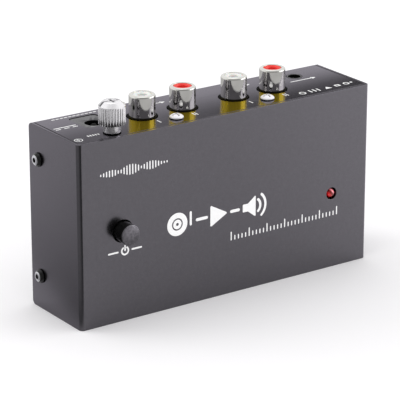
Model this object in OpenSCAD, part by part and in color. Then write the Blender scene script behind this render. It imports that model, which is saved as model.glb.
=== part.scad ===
// Small folded-steel phono preamp with phono sockets, a ground terminal and a push switch.
// The case stands on one of its long narrow faces, so +Z runs out of the connector panel.
// The labelled face looks along -Y, the base with its rubber feet looks along +Y, and X
// runs along the length. The origin is the middle of the standing face.

/* [Case] */
// Length of the case along its connector panel
case_l = 110; // [104:1:150]
// Depth of the case from the labelled face to the base
case_d = 28.4; // [27:0.2:40]
// Height of the case from the standing face to the connector panel
case_h = 59.5; // [56:0.5:90]
// Thickness of the folded steel sheet
sheet = 1; // [0.8:0.1:1.2]
// Outside radius of the folds in the sheet
fold_r = 1.4; // [1.3:0.1:2]
// Gap between the chassis and the cover around it
seam = 0.25; // [0.15:0.05:0.4]
// Width of each chassis tab that takes a side screw
tab_w = 10; // [8:0.5:14]
// Reach of each chassis tab past its screw
tab_reach = 4; // [3:0.5:6]

/* [Case screws and feet] */
// Distance of the side screws from the base
side_screw_depth = 5.4; // [5.2:0.1:8]
// Distance of the lower side screws from the standing face
side_screw_low = 10.9; // [9:0.1:14]
// Distance of the upper side screws from the connector panel
side_screw_high = 10.6; // [9:0.1:14]
// Radius of the side screws' heads
side_head_r = 2.25; // [2:0.05:2.6]
// Height of the side screws' heads
side_head_h = 1.55; // [1:0.05:1.8]
// Radius of the flat front of the side screws' heads
side_flat_r = 1.2; // [1:0.1:1.4]
// Radius of the side screws' thread
side_thread_r = 1.25; // [1:0.05:1.4]
// Length of the side screws under the head
side_screw_l = 3.2; // [3:0.1:3.4]
// Width across the flats of the side screws' socket
side_socket = 1.5; // [1.3:0.1:2]
// Radius of the rubber feet
foot_r = 4; // [3:0.5:5]
// Height of the rubber feet
foot_h = 2; // [1.5:0.1:4]
// Distance of the feet from the edges of the base
foot_inset = 8.5; // [6:0.5:12]

/* [Board] */
// Thickness of the circuit board
board_t = 1.6; // [1.2:0.1:2]
// Length of the standoffs between the base and the board
standoff_h = 1.9; // [1.8:0.1:2.8]
// Gap between the board and the sheets around it
board_gap = 1; // [0.8:0.1:1.4]
// Radius of the standoffs
standoff_r = 2.5; // [2.2:0.1:3]
// Distance of the board screws from the case's sides
board_screw_inset = 16; // [15:0.5:17]
// Distance of the lower board screws from the standing face
board_screw_low = 6.5; // [5.5:0.5:8]
// Distance of the upper board screws from the connector panel
board_screw_high = 19.5; // [19:0.5:20]
// Radius of the board screws' heads
board_head_r = 2.3; // [2:0.1:2.5]
// Height of the board screws' heads
board_head_h = 1.6; // [1.2:0.1:2]
// Radius of the board screws' thread
board_thread_r = 1.25; // [1:0.05:1.4]

/* [Phono sockets] */
// Distance between the two sockets of a pair
jack_pitch = 15; // [14:0.5:16]
// Place of the input pair's middle along the case
input_x = -15.75; // [-17:0.25:-15]
// Place of the output pair's middle along the case
output_x = 18.75; // [17:0.25:20]
// Height of the socket axes above the board
jack_axis_h = 10.3; // [9.7:0.1:10.7]
// Outside radius of the metal shells
shell_r = 4.15; // [4:0.05:4.2]
// Height of the shells above the panel
shell_h = 7.2; // [6.5:0.1:9]
// Wall of the shells
shell_wall = 0.5; // [0.45:0.05:0.6]
// Radius of the rounded lip of the shells
lip_r = 1; // [0.8:0.1:1.2]
// Radius of the shells' mouth
mouth_r = 2.9; // [2.8:0.05:3]
// Length of the shells below the panel's outer face
shell_seat = 7; // [6:0.5:7.5]
// Radius of the hole that takes a plug's centre pin
pin_hole_r = 1.7; // [1.6:0.05:1.8]
// Outside radius of the black collars round the shells
collar_r = 4.8; // [4.7:0.05:5.1]
// Height of the collars above the panel
collar_h = 0.4; // [0.2:0.05:0.6]
// Depth of the socket blocks behind the panel
block_deep = 9.5; // [9:0.5:10.5]
// Cover of the socket blocks round each axis
block_over = 5.6; // [5.4:0.1:5.8]
// Distance from the socket axes to the blocks' screws
jack_screw_rise = 7.7; // [7.6:0.1:8]
// Radius of the socket screws' heads
jack_head_r = 2.2; // [1.8:0.1:2.4]
// Height of the socket screws' heads
jack_head_h = 1.4; // [1:0.1:1.8]
// Radius of the socket screws' thread
jack_thread_r = 1.45; // [1.2:0.05:1.5]
// Length of the socket screws under the head
jack_screw_l = 7.5; // [6:0.5:8]

/* [Power jack] */
// Distance of the power jack's axis from the left side
dc_inset = 16.15; // [16:0.05:17]
// Width of the power jack
dc_w = 9.4; // [8.8:0.1:9.6]
// Height of the power jack's face above the board
dc_face_h = 11; // [10.6:0.1:11.4]
// Length of the power jack
dc_l = 14; // [13:0.5:14.5]
// Height of the power jack's axis above the board
dc_axis_h = 7.2; // [6.8:0.1:7.4]
// Radius of the power jack's barrel
dc_bore_r = 2.85; // [2.8:0.05:3.1]
// Depth of the power jack's barrel
dc_bore_deep = 9.5; // [9:0.5:10]
// Radius of the power jack's centre pin
dc_pin_r = 1; // [0.8:0.05:1.25]
// Depth of the power jack's face below the panel's outer face
dc_recess = 0.2; // [0:0.05:0.4]

/* [Small jack] */
// Distance of the small jack and the lamp from the right side
right_inset = 14.6; // [14:0.1:16]
// Width of the small jack's body
mini_w = 6; // [6:0.5:7]
// Height of the small jack's body above the board
mini_h = 6.2; // [6:0.1:6.6]
// Length of the small jack's body behind the panel
mini_l = 12; // [11:0.5:12.5]
// Height of the small jack's axis above the board
mini_axis_h = 3.2; // [3:0.1:3.3]
// Radius of the small jack's nose
mini_nose_r = 2.5; // [2.4:0.1:2.9]
// Radius of the small jack's bore
mini_bore_r = 1.8; // [1.75:0.05:1.85]

/* [Ground terminal] */
// Distance of the ground terminal from the left side
ground_inset = 15.3; // [15:0.1:17]
// Distance of the ground terminal from the labelled face
ground_depth = 5.1; // [4.8:0.1:6.2]
// Radius of the ground screw's knurled head
knob_r = 4.15; // [3.5:0.05:4.2]
// Number of grooves in the knurl
knurl_count = 28; // [20:1:36]
// Side of the square tool that cuts each groove
knurl_cut = 0.5; // [0.3:0.05:0.6]
// Height of the plain neck under the knurl
neck_h = 2.2; // [2:0.1:4]
// Radius of the plain neck
neck_r = 2.7; // [2.4:0.1:3]
// Height of the knurled band
knurl_h = 5.6; // [4:0.1:7]
// Height of the plain top over the knurl
knob_top_h = 1.7; // [1.4:0.1:2.5]
// Rounding of the plain top's edge
knob_edge = 1; // [0.5:0.1:1.2]
// Radius of the ground screw's thread
ground_thread_r = 1.5; // [1.25:0.05:1.6]
// Length of the ground screw's thread below the panel's outer face
ground_screw_l = 8.5; // [7.5:0.5:10]
// Thickness of the captive washer under the neck
washer_t = 0.5; // [0.3:0.1:1]
// Radius of the captive washer
washer_r = 2.95; // [2.7:0.05:3.4]
// Thickness of the solder tag behind the panel
tag_t = 0.5; // [0.4:0.1:0.8]
// Radius of the solder tag's ring
tag_r = 3.2; // [3:0.1:3.4]
// Width across the flats of the ground nut
nut_flats = 5.5; // [5:0.5:6]
// Height of the ground nut
nut_h = 2.4; // [2:0.1:3]
// Radius of the ground wire
wire_r = 0.6; // [0.5:0.05:0.7]
// Radius of the bend in the ground wire
wire_bend = 3; // [2:0.5:4]

/* [Power button] */
// Distance of the power button from the left side
button_inset = 15.5; // [15:0.1:17]
// Height of the power button's axis above the standing face
button_z = 29.4; // [28:0.1:29.5]
// Radius of the button's cap
button_r = 3.3; // [3:0.1:4]
// How far the button stands out of the labelled face
button_proud = 4.7; // [3.5:0.1:6]
// Length of the cap's full-width part
button_head_l = 10; // [8:0.5:12]
// Rounding of the cap's front edge
button_edge = 0.35; // [0.2:0.05:0.6]
// Travel of the button
button_travel = 2.2; // [1.5:0.1:2.5]
// Width of the switch's square body
switch_w = 8.5; // [8:0.1:8.6]
// Height of the switch's body above the board
switch_h = 9; // [8:0.5:9.5]
// Wall of the switch's body
switch_wall = 1; // [0.8:0.1:1.2]
// Radius of the switch's stem
stem_r = 1.8; // [1.5:0.1:2]
// Thickness of the stem's flange
flange_t = 1.2; // [1:0.1:1.4]
// Mean radius of the return spring
spring_r = 1.9; // [1.7:0.05:2]
// Radius of the return spring's wire
spring_wire_r = 0.22; // [0.18:0.02:0.26]
// Number of turns of the return spring
spring_turns = 5; // [4:1:6]

/* [Lamp] */
// Height of the lamp above the standing face
lamp_z = 25.3; // [20:0.1:30]
// Radius of the lamp's lens
lens_r = 1.5; // [1.3:0.05:1.6]
// Length of the lamp from its rim to the top of its dome
lens_l = 5.3; // [4.5:0.1:6]
// Width of the lamp's rim past the lens
rim_w = 0.4; // [0.3:0.05:0.5]
// Height of the lamp's rim
rim_h = 1; // [0.8:0.1:1.2]
// How far the dome stands out of the labelled face
lens_proud = 0.4; // [0:0.1:1]
// Radius of the lamp's hole in the cover
lamp_hole_r = 2; // [1.9:0.05:2.3]
// Radius of the lamp's spacer
spacer_r = 2.6; // [2.5:0.1:3]

/* [Parts on the board] */
// Radius of the supply capacitors
supply_cap_r = 5; // [4:0.5:5]
// Height of the supply capacitors
supply_cap_h = 16; // [12:0.5:18]
// Radius of the coupling capacitors
coupling_cap_r = 3.15; // [2.5:0.05:3.5]
// Height of the coupling capacitors
coupling_cap_h = 11; // [7:0.5:12]
// Length of the film capacitors
film_cap_l = 7.2; // [6.5:0.1:8]
// Thickness of the film capacitors
film_cap_t = 3; // [2.5:0.1:3.5]
// Height of the film capacitors
film_cap_h = 6.5; // [5:0.5:9]
// Length of the amplifier chips
chip_l = 9.6; // [9:0.1:10]
// Width of the amplifier chips
chip_w = 6.3; // [6:0.1:6.6]
// Height of the amplifier chips' cases
chip_h = 3.3; // [3:0.1:3.6]
// Radius of the resistors
resistor_r = 1; // [0.8:0.1:1.2]
// Length of the resistors' bodies
resistor_l = 4; // [3.2:0.1:5]
// Radius of the diodes
diode_r = 1.3; // [1:0.1:1.4]
// Length of the diodes' bodies
diode_l = 5; // [4:0.1:5.4]
// Radius of the regulator's round back
regulator_r = 2.4; // [2.2:0.1:2.6]
// Height of the regulator's case
regulator_h = 4.8; // [4.4:0.1:5.2]

/* [Hidden] */
$fn = 64;

// Overshoot of every shape that only cuts
cut = 1;
// Radial gap of parts that are pushed together
push_gap = 0.05;
// Radial gap between a screw's thread and the hole it is cut in
thread_gap = 0.05;
// Radial gap of a screw in a plain hole
screw_gap = 0.25;
// Gap round what moves
running_gap = 0.3;
// Gap round the connectors in the panel
panel_gap = 0.15;
// Gap past the tip of a screw
tip_gap = 0.5;
// Colours of the right and left channels
red = [0.85, 0.2, 0.18];
white = [0.92, 0.92, 0.9];

// Faces that the inner parts are placed from
half_l = case_l / 2;
half_d = case_d / 2;
panel_in_z = case_h - sheet;
base_in_y = half_d - sheet;
board_back_y = base_in_y - standoff_h;
board_face_y = board_back_y - board_t;
face_height = board_face_y + half_d;
face_in_height = face_height - sheet;

// Chassis
chassis_l = case_l - 2 * (sheet + seam);
chassis_leg = case_d - sheet - seam;
side_screw_y = half_d - side_screw_depth;
side_screw_zs = [side_screw_low, case_h - side_screw_high];
socket_depth_share = 0.6;

// Board and what passes through it
board_half_l = half_l - side_screw_l - tip_gap;
board_low_z = sheet + board_gap;
board_high_z = panel_in_z - board_gap;
board_screw_x = half_l - board_screw_inset;
board_screw_zs = [board_screw_low, case_h - board_screw_high];
standoff_shoulder = 0.5;
pilot_r = standoff_r - standoff_shoulder;
lead_out = 1.2;
lead_w = 0.5;
lead_hole_r = 0.5;
recess_w = 0.6;

// Phono sockets
input_xs = [input_x - jack_pitch / 2, input_x + jack_pitch / 2];
output_xs = [output_x - jack_pitch / 2, output_x + jack_pitch / 2];
jack_xs = concat(input_xs, output_xs);
jack_y = board_face_y - jack_axis_h;
jack_screw_y = jack_y - jack_screw_rise;
jack_screw_xs = [input_x, output_x];
shell_in_r = shell_r - shell_wall;
shell_step = 0.25;
shell_shank_r = shell_r - shell_step;
insert_r = shell_in_r - 2 * push_gap;
insert_top = shell_h - shell_wall - 2 * push_gap;
insert_under_lip = 0.2;
insert_mouth_r = mouth_r + insert_under_lip;
contact_wall = 0.55;
contact_grip = 0.2;
contact_in_r = pin_hole_r - contact_grip;
contact_r = contact_in_r + contact_wall;
contact_top = 2.5;
contact_slit = 0.5;
contact_slit_l = 4;
contact_tail_drop = 1.2;
tail_w = 0.5;
tail_h = 1;
tail_hole_r = 0.7;
shell_tail_rise = 1.6;
lug_w = 8;
lug_reach = 2.6;
lug_deep = 8.5;
pin_mouth_chamfer = 0.3;

// Power jack
dc_x = dc_inset - half_l;
dc_y = board_face_y - dc_axis_h;
dc_flange_t = 3.5;
dc_wall = 0.6;
dc_back_h = dc_axis_h + dc_bore_r + dc_wall;
dc_corner_r = 1.2;
dc_floor_z = -dc_recess - dc_bore_deep;
dc_root_step = 0.2;
dc_root_r = dc_pin_r + dc_root_step;
dc_tip_l = 0.4;
dc_pin_recess = 0.3;
dc_tail_t = 0.6;
dc_tail_w = 2;
dc_spring_t = 0.3;
dc_spring_w = 2.2;
dc_spring_drop = 0.45;
dc_spring_slot_l = 6.5;
dc_tail_hole_r = 1.2;

// Small jack
mini_x = half_l - right_inset;
mini_y = board_face_y - mini_axis_h;
mini_end_wall = 0.8;
mini_slot_deep = 0.8;
mini_slot_l = 5;
mini_leaf_t = 0.3;
mini_leaf_h = 1;
mini_leaf_rests = [-2.5, -8];

// Ground terminal
ground_x = ground_inset - half_l;
ground_y = ground_depth - half_d;
ground_run_gap = 0.06;
knob_base = washer_t + neck_h;
knob_top = knob_base + knurl_h + knob_top_h;
knob_slot_w = 0.9;
knob_slot_deep = 0.8;
knob_cross_l = 3.6;
tag_tail_w = 2.6;
wire_gap = 0.5;
wire_x = dc_x + dc_w / 2 + wire_r + wire_gap;
wire_top_z = panel_in_z - tag_t;
wire_drop = 5;
wire_run_z = wire_top_z - wire_drop - wire_bend;

// Power button and its switch
button_x = button_inset - half_l;
button_hole_r = button_r + running_gap;
button_top = face_height + button_proud;
button_rear = switch_h + button_travel + running_gap;
sleeve_wall = 0.9;
sleeve_r = stem_r + sleeve_wall;
stem_grip = 5.2;
stem_top = button_rear + stem_grip;
flange_top = switch_h - switch_wall - running_gap;
flange_rest = flange_top - flange_t;
flange_w = switch_w - 2 * switch_wall - 2 * running_gap;
guide_gap = 0.5;
guide_r = spring_r - spring_wire_r - guide_gap;
guide_rest = switch_wall + button_travel + running_gap;
spring_end_gap = 0.03;
spring_steps = 16;
spring_sides = 6;
switch_pin_pitch = 2.5;
switch_pin_row = 4.5;

// Lamp
lamp_x = mini_x;
rim_r = lens_r + rim_w;
lens_top = face_height + lens_proud;
lens_rest = lens_top - lens_l;
spacer_top = face_in_height - running_gap;
lamp_lead_pitch = 2.54;

// Places of the parts on the board, from the middle of the case and the standing face
supply_cap_at = [[-26, 10], [-14, 10]];
coupling_cap_at = [[4, 8], [12, 8], [20, 8], [28, 8]];
film_cap_xs = [-26, -16, -6, 6, 16, 26];
film_cap_z = 26.5;
film_cap_at = [for (x = film_cap_xs) [x, film_cap_z]];
chip_z = 36;
low_resistor_xs = [4, 14, 24];
low_resistor_zs = [16, 20];
high_resistor_xs = [-26.5, -4, 7.5, 30];
high_resistor_zs = [32.5, 36, 39.5];
resistor_at = concat(
    [for (x = low_resistor_xs, z = low_resistor_zs) [x, z]],
    [for (x = high_resistor_xs, z = high_resistor_zs) [x, z]]
);
diode_at = [[-26, 20], [-14, 20]];
regulator_at = [-5, 14];
cap_lead_pitch = 2.5;
film_lead_pitch = 5;
chip_lead_pitch = 2.54;
chip_lead_row = 7.62;
axial_lead_pitch = 7.62;
supply_lead_pitch = 5;
regulator_lead_pitch = 1.27;
axial_lead_r = 0.25;
chip_lift = 0.6;
chip_leg_h = 2;
chip_leg_t = 0.3;
regulator_lift = 2.5;
regulator_flat = 1.2;
crimp_deep = 0.3;
crimp_w = 0.8;
crimp_rise = 1.5;
sleeve_top = 0.5;

// Every lead hole in the board as [x, z, radius]
function pairs(places, pitch) =
    [for (p = places, s = [-1, 1]) [p[0] + s * pitch / 2, p[1], lead_hole_r]];
function chip_holes(x) = [
    for (i = [-1.5:1.5], s = [-1, 1])
        [x + i * chip_lead_pitch, chip_z + s * chip_lead_row / 2, lead_hole_r]
];
jack_holes = [
    for (x = jack_xs, z = [contact_tail_z(), shell_tail_z()])
        [x, z + tail_h / 2, tail_hole_r]
];
switch_holes = [
    for (i = [-1:1], s = [-1, 1])
        [button_x + s * switch_pin_row / 2, button_z + i * switch_pin_pitch, lead_hole_r]
];
small_jack_holes = [
    for (s = [-1, 1], z = mini_leaf_rests)
        [mini_x + s * mini_leaf_x(), panel_in_z + z - mini_slot_l / 2, tail_hole_r]
];
power_jack_holes = [
    [dc_x, case_h - dc_recess - dc_l - dc_tail_t / 2, dc_tail_hole_r],
    [dc_x, dc_spring_tail_z() + dc_spring_t / 2, dc_tail_hole_r]
];
regulator_holes = [
    for (i = [-1:1])
        [regulator_at[0] + i * regulator_lead_pitch, regulator_at[1], lead_hole_r]
];
board_holes = concat(
    jack_holes, switch_holes, small_jack_holes, power_jack_holes, regulator_holes,
    pairs([[lamp_x, lamp_z]], lamp_lead_pitch),
    pairs(supply_cap_at, supply_lead_pitch),
    pairs(coupling_cap_at, cap_lead_pitch),
    pairs(film_cap_at, film_lead_pitch),
    pairs(resistor_at, axial_lead_pitch),
    pairs(diode_at, axial_lead_pitch),
    chip_holes(input_x), chip_holes(output_x),
    [[wire_x, wire_run_z, wire_r + push_gap]]
);

function contact_tail_z() = case_h - shell_seat - contact_tail_drop;
function shell_tail_z() = case_h - shell_seat + shell_tail_rise;
function mini_leaf_x() = mini_w / 2 - mini_slot_deep / 2;
function dc_spring_tail_z() = case_h - dc_recess - dc_flange_t - dc_spring_slot_l;

// Places children on the board's component face, with their +Z away from the board
module on_board(x, z) {
    translate([x, board_face_y, z]) rotate([90, 0, 0]) children();
}

// Places children on the connector panel's outer face
module on_panel(x, y) {
    translate([x, y, case_h]) children();
}

// Places children on a side of the cover, with their +Z out of it; side is -1 or 1
module on_side(side, z) {
    translate([side * half_l, side_screw_y, z]) rotate([0, side * 90, 0]) children();
}

// Places children on the labelled face's outer surface, with their +Z out of it
module on_face(x, z) {
    translate([x, -half_d, z]) rotate([90, 0, 0]) children();
}

// Box that stands on z = 0, centred in X and Y
module standing_box(w, d, h) {
    translate([-w / 2, -d / 2, 0]) cube([w, d, h]);
}

// Box between two corners
module box_between(low, high) {
    translate(low) cube(high - low);
}

// Plain hole that starts cut above z = 0 and goes deep below it
module hole_down(r, deep) {
    translate([0, 0, -deep]) cylinder(r = r, h = deep + cut);
}

// Square wire through the board that reaches up above it
module lead(x, y, up) {
    drop = board_t + lead_out;
    translate([x, y, -drop]) standing_box(lead_w, lead_w, drop + up);
}

// Rectangle from the origin whose two lower corners are round
module cup_2d(w, h, r) {
    translate([r, 0]) square([w - 2 * r, h]);
    translate([0, r]) square([w, h - r]);
    for (x = [r, w - r]) translate([x, r]) circle(r);
}

// Half section of a round plug with a rounded top edge
module plug_2d(r, h, edge, below) {
    translate([0, -below]) square([r, below + h - edge]);
    square([r - edge, h]);
    translate([r - edge, h - edge]) circle(edge);
}

// Section of a sheet folded up at both ends, open towards +Y
module folded_sheet_2d(w, leg) {
    difference() {
        cup_2d(w, leg, fold_r);
        translate([sheet, sheet]) cup_2d(w - 2 * sheet, leg, fold_r - sheet);
    }
}

// What a fold takes off a square corner at the origin
module corner_2d() {
    difference() {
        translate([-cut, -cut]) square(fold_r + cut);
        translate([fold_r, fold_r]) circle(fold_r);
    }
}

// Rectangle with four round corners, centred
module rounded_2d(w, h, r) {
    square([w - 2 * r, h], center = true);
    square([w, h - 2 * r], center = true);
    for (x = [r - w / 2, w / 2 - r], y = [r - h / 2, h / 2 - r]) translate([x, y]) circle(r);
}

// Low dome that ends square at its rim and flat within flat_r
module dome(r, h, edge, flat_r) {
    middle = (h * h - edge * edge + flat_r * flat_r - r * r) / (2 * (h - edge));
    intersection() {
        cylinder(r = r, h = h);
        translate([0, 0, middle]) sphere(norm([r, edge - middle]));
    }
}

// Domed screw; children are cut out of its head
module screw(head_r, head_h, flat_r, thread_r, length) {
    difference() {
        union() {
            dome(head_r, head_h, head_h / 4, flat_r);
            translate([0, 0, -length]) cylinder(r = thread_r, h = length + head_h / 4);
        }
        translate([0, 0, head_h]) children();
    }
}

// Cross recess that is cut down from z = 0
module cross_recess(reach, deep) {
    for (turn = [0, 90]) {
        rotate([0, 0, turn]) translate([0, 0, -deep]) standing_box(2 * reach, recess_w, deep + cut);
    }
}

// Labelled face and both sides, folded from one sheet
module cover() {
    color([0.37, 0.37, 0.39]) difference() {
        translate([-half_l, -half_d, 0]) linear_extrude(case_h) folded_sheet_2d(case_l, case_d);
        for (m = [0, 1]) {
            translate([half_l + cut, half_d, m * case_h]) mirror([0, 0, m])
                rotate([90, 0, -90]) linear_extrude(case_l + 2 * cut) corner_2d();
        }
        on_face(button_x, button_z) hole_down(button_hole_r, sheet + cut);
        on_face(lamp_x, lamp_z) hole_down(lamp_hole_r, sheet + cut);
        for (side = [-1, 1], z = side_screw_zs) {
            on_side(side, z) hole_down(side_thread_r + screw_gap, sheet + cut);
        }
    }
}

// Base, connector panel and standing face, folded from one sheet, with four screw tabs
module chassis() {
    tab_tip_y = side_screw_y - tab_reach;
    color([0.42, 0.42, 0.44]) difference() {
        union() {
            translate([-chassis_l / 2, half_d, 0]) rotate([0, 90, 0]) rotate([0, 0, 180])
                linear_extrude(chassis_l) folded_sheet_2d(case_h, chassis_leg);
            for (m = [0, 1], z = side_screw_zs) {
                mirror([m, 0, 0]) translate([chassis_l / 2 - sheet, tab_tip_y, z - tab_w / 2])
                    cube([sheet, half_d - tab_tip_y, tab_w]);
            }
        }
        for (m = [0, 1], z = side_screw_zs) {
            mirror([m, 0, 0]) translate([chassis_l / 2, half_d, z - tab_w / 2])
                rotate([0, 0, 180]) linear_extrude(tab_w) corner_2d();
        }
        for (side = [-1, 1], z = side_screw_zs) {
            on_side(side, z) hole_down(side_thread_r + thread_gap, 3 * sheet + seam);
        }
        for (x = jack_xs) on_panel(x, jack_y) hole_down(collar_r + panel_gap, sheet + cut);
        for (x = jack_screw_xs) {
            on_panel(x, jack_screw_y) hole_down(jack_thread_r + screw_gap, sheet + cut);
        }
        on_panel(ground_x, ground_y) hole_down(ground_thread_r + screw_gap, sheet + cut);
        on_panel(mini_x, mini_y) hole_down(mini_nose_r + panel_gap, sheet + cut);
        on_panel(dc_x, board_face_y - dc_face_h / 2) translate([0, 0, -sheet - cut])
            linear_extrude(sheet + 2 * cut)
                rounded_2d(dc_w + 2 * panel_gap, dc_face_h + 2 * panel_gap, dc_corner_r + panel_gap);
        for (x = [-board_screw_x, board_screw_x], z = board_screw_zs) {
            translate([x, half_d, z]) rotate([-90, 0, 0]) hole_down(pilot_r + push_gap, sheet + cut);
        }
    }
}

// Four socket-head screws through the cover's sides
module side_screws() {
    color([0.12, 0.12, 0.13]) for (side = [-1, 1], z = side_screw_zs) {
        on_side(side, z) screw(side_head_r, side_head_h, side_flat_r, side_thread_r, side_screw_l) {
            translate([0, 0, -side_head_h * socket_depth_share])
                cylinder(d = side_socket / cos(30), h = side_head_h, $fn = 6);
        }
    }
}

// Four stick-on feet on the base
module rubber_feet() {
    color([0.08, 0.08, 0.08]) for (s = [-1, 1], z = [foot_inset, case_h - foot_inset]) {
        translate([s * (half_l - foot_inset), half_d, z]) rotate([-90, 0, 0])
            rotate_extrude() plug_2d(foot_r, foot_h, foot_h / 4, 0);
    }
}

module circuit_board() {
    color([0.1, 0.35, 0.2]) difference() {
        box_between([-board_half_l, board_face_y, board_low_z], [board_half_l, board_back_y, board_high_z]);
        for (h = board_holes) on_board(h[0], h[1]) hole_down(h[2], board_t + cut);
        for (x = [-board_screw_x, board_screw_x], z = board_screw_zs) {
            on_board(x, z) hole_down(board_thread_r + screw_gap, board_t + cut);
        }
    }
}

// Four threaded standoffs pressed into the base
module standoffs() {
    color([0.75, 0.75, 0.72]) for (x = [-board_screw_x, board_screw_x], z = board_screw_zs) {
        on_board(x, z) difference() {
            union() {
                translate([0, 0, -board_t - standoff_h]) cylinder(r = standoff_r, h = standoff_h);
                translate([0, 0, -board_t - standoff_h - sheet])
                    cylinder(r = pilot_r, h = sheet + standoff_h / 2);
            }
            translate([0, 0, -board_t]) hole_down(board_thread_r + thread_gap, standoff_h + sheet + cut);
        }
    }
}

// Four pan screws that hold the board on its standoffs
module board_screws() {
    color([0.8, 0.8, 0.78]) for (x = [-board_screw_x, board_screw_x], z = board_screw_zs) {
        on_board(x, z) screw(board_head_r, board_head_h, 0, board_thread_r, board_t + standoff_h)
            cross_recess(board_head_r / 2, board_head_h / 2);
    }
}

// Black moulding that holds two phono sockets behind the panel
module socket_block(middle_x) {
    half_w = jack_pitch / 2 + block_over;
    xs = [middle_x - jack_pitch / 2, middle_x + jack_pitch / 2];
    tail_slot_w = tail_w + 2 * push_gap;
    tail_slot_h = tail_h + 2 * push_gap;
    color([0.07, 0.07, 0.08]) difference() {
        union() {
            box_between(
                [middle_x - half_w, jack_y - block_over, panel_in_z - block_deep],
                [middle_x + half_w, board_face_y, panel_in_z]
            );
            box_between(
                [middle_x - lug_w / 2, jack_screw_y - lug_reach, panel_in_z - lug_deep],
                [middle_x + lug_w / 2, jack_y, panel_in_z]
            );
            for (x = xs) on_panel(x, jack_y) translate([0, 0, -sheet - cut])
                cylinder(r = collar_r, h = sheet + cut + collar_h);
        }
        on_panel(middle_x, jack_screw_y) hole_down(jack_thread_r + thread_gap, jack_screw_l + tip_gap);
        for (x = xs) on_panel(x, jack_y) {
            hole_down(shell_shank_r + push_gap, shell_seat);
            hole_down(contact_r + push_gap, shell_seat + contact_tail_drop);
            for (z = [contact_tail_z(), shell_tail_z()]) {
                translate([-tail_slot_w / 2, 0, z - case_h - push_gap])
                    cube([tail_slot_w, jack_axis_h + cut, tail_slot_h]);
            }
        }
    }
}

// Nickel shell that a phono plug's ring slides over
module socket_shell(x) {
    color([0.8, 0.8, 0.82]) on_panel(x, jack_y) {
        rotate_extrude() difference() {
            union() {
                plug_2d(shell_r, shell_h, lip_r, -collar_h);
                translate([0, -shell_seat]) square([shell_shank_r, shell_seat + shell_h / 2]);
            }
            translate([0, -push_gap])
                plug_2d(shell_in_r, shell_h - shell_wall + push_gap, lip_r - shell_wall, shell_seat);
            translate([0, -shell_seat - cut]) square([mouth_r, shell_seat + shell_h + 2 * cut]);
        }
        translate([-tail_w / 2, shell_in_r + shell_wall / 4, shell_tail_z() - case_h])
            cube([tail_w, jack_axis_h - shell_in_r - shell_wall / 4 + board_t + lead_out, tail_h]);
    }
}

// Coloured insulator inside a shell
module socket_insert(x, paint) {
    color(paint) on_panel(x, jack_y) rotate_extrude() polygon([
        [contact_r + push_gap, -shell_seat],
        [insert_r, -shell_seat],
        [insert_r, shell_h - lip_r],
        [insert_mouth_r, insert_top],
        [pin_hole_r + pin_mouth_chamfer, insert_top],
        [pin_hole_r, insert_top - pin_mouth_chamfer],
        [pin_hole_r, contact_top + push_gap],
        [contact_r + push_gap, contact_top + push_gap]
    ]);
}

// Slit spring sleeve that grips a plug's centre pin, with its tail through the board
module socket_contact(x) {
    bottom = -shell_seat - contact_tail_drop;
    color([0.85, 0.7, 0.4]) on_panel(x, jack_y) {
        difference() {
            translate([0, 0, bottom]) cylinder(r = contact_r, h = contact_top - bottom);
            translate([0, 0, contact_top]) hole_down(contact_in_r, contact_top - bottom - contact_wall);
            for (turn = [0, 90]) rotate([0, 0, turn]) translate([0, 0, contact_top - contact_slit_l])
                standing_box(2 * contact_r + cut, contact_slit, contact_slit_l + cut);
        }
        translate([-tail_w / 2, contact_in_r + contact_wall / 2, bottom]) cube([
            tail_w, jack_axis_h - contact_in_r - contact_wall / 2 + board_t + lead_out, tail_h
        ]);
    }
}

// Two bright pan screws that hold the socket blocks to the panel
module socket_screws() {
    color([0.85, 0.85, 0.87]) for (x = jack_screw_xs) {
        on_panel(x, jack_screw_y) screw(jack_head_r, jack_head_h, 0, jack_thread_r, jack_screw_l)
            cross_recess(jack_head_r / 2, jack_head_h / 2);
    }
}

// Black body of the barrel power jack
module power_jack_body() {
    face_z = -dc_recess;
    color([0.1, 0.1, 0.1]) on_panel(dc_x, dc_y) difference() {
        union() {
            translate([0, dc_axis_h - dc_face_h / 2, face_z - dc_flange_t]) linear_extrude(dc_flange_t)
                rounded_2d(dc_w, dc_face_h, dc_corner_r);
            translate([-dc_w / 2, dc_axis_h - dc_back_h, face_z - dc_l])
                cube([dc_w, dc_back_h, dc_l - dc_flange_t / 2]);
        }
        translate([0, 0, face_z]) {
            hole_down(dc_bore_r, dc_bore_deep);
            hole_down(dc_root_r + push_gap, dc_l + cut);
            translate([-dc_spring_w / 2 - push_gap, 0, -dc_flange_t - dc_spring_slot_l])
                cube([dc_spring_w + 2 * push_gap, dc_bore_r + dc_spring_drop + dc_spring_t, dc_spring_slot_l]);
            translate([-dc_spring_w / 2 - push_gap, 0, -dc_flange_t - dc_spring_slot_l - push_gap])
                cube([dc_spring_w + 2 * push_gap, dc_axis_h + cut, dc_spring_t + 3 * push_gap]);
        }
    }
}

// Centre pin of the power jack with its tail behind the body
module power_jack_pin() {
    back = -dc_recess - dc_l;
    tip_z = -dc_recess - dc_pin_recess;
    color([0.85, 0.85, 0.85]) on_panel(dc_x, dc_y) {
        translate([0, 0, back - dc_tail_t]) cylinder(r = dc_root_r, h = dc_floor_z - back + dc_tail_t);
        translate([0, 0, dc_floor_z]) cylinder(r = dc_pin_r, h = tip_z - dc_tip_l - dc_floor_z);
        translate([0, 0, tip_z - dc_tip_l]) cylinder(r1 = dc_pin_r, r2 = dc_pin_r - dc_tip_l, h = dc_tip_l);
        translate([-dc_tail_w / 2, -dc_pin_r, back - dc_tail_t])
            cube([dc_tail_w, dc_pin_r + dc_axis_h + board_t + lead_out, dc_tail_t]);
    }
}

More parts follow.
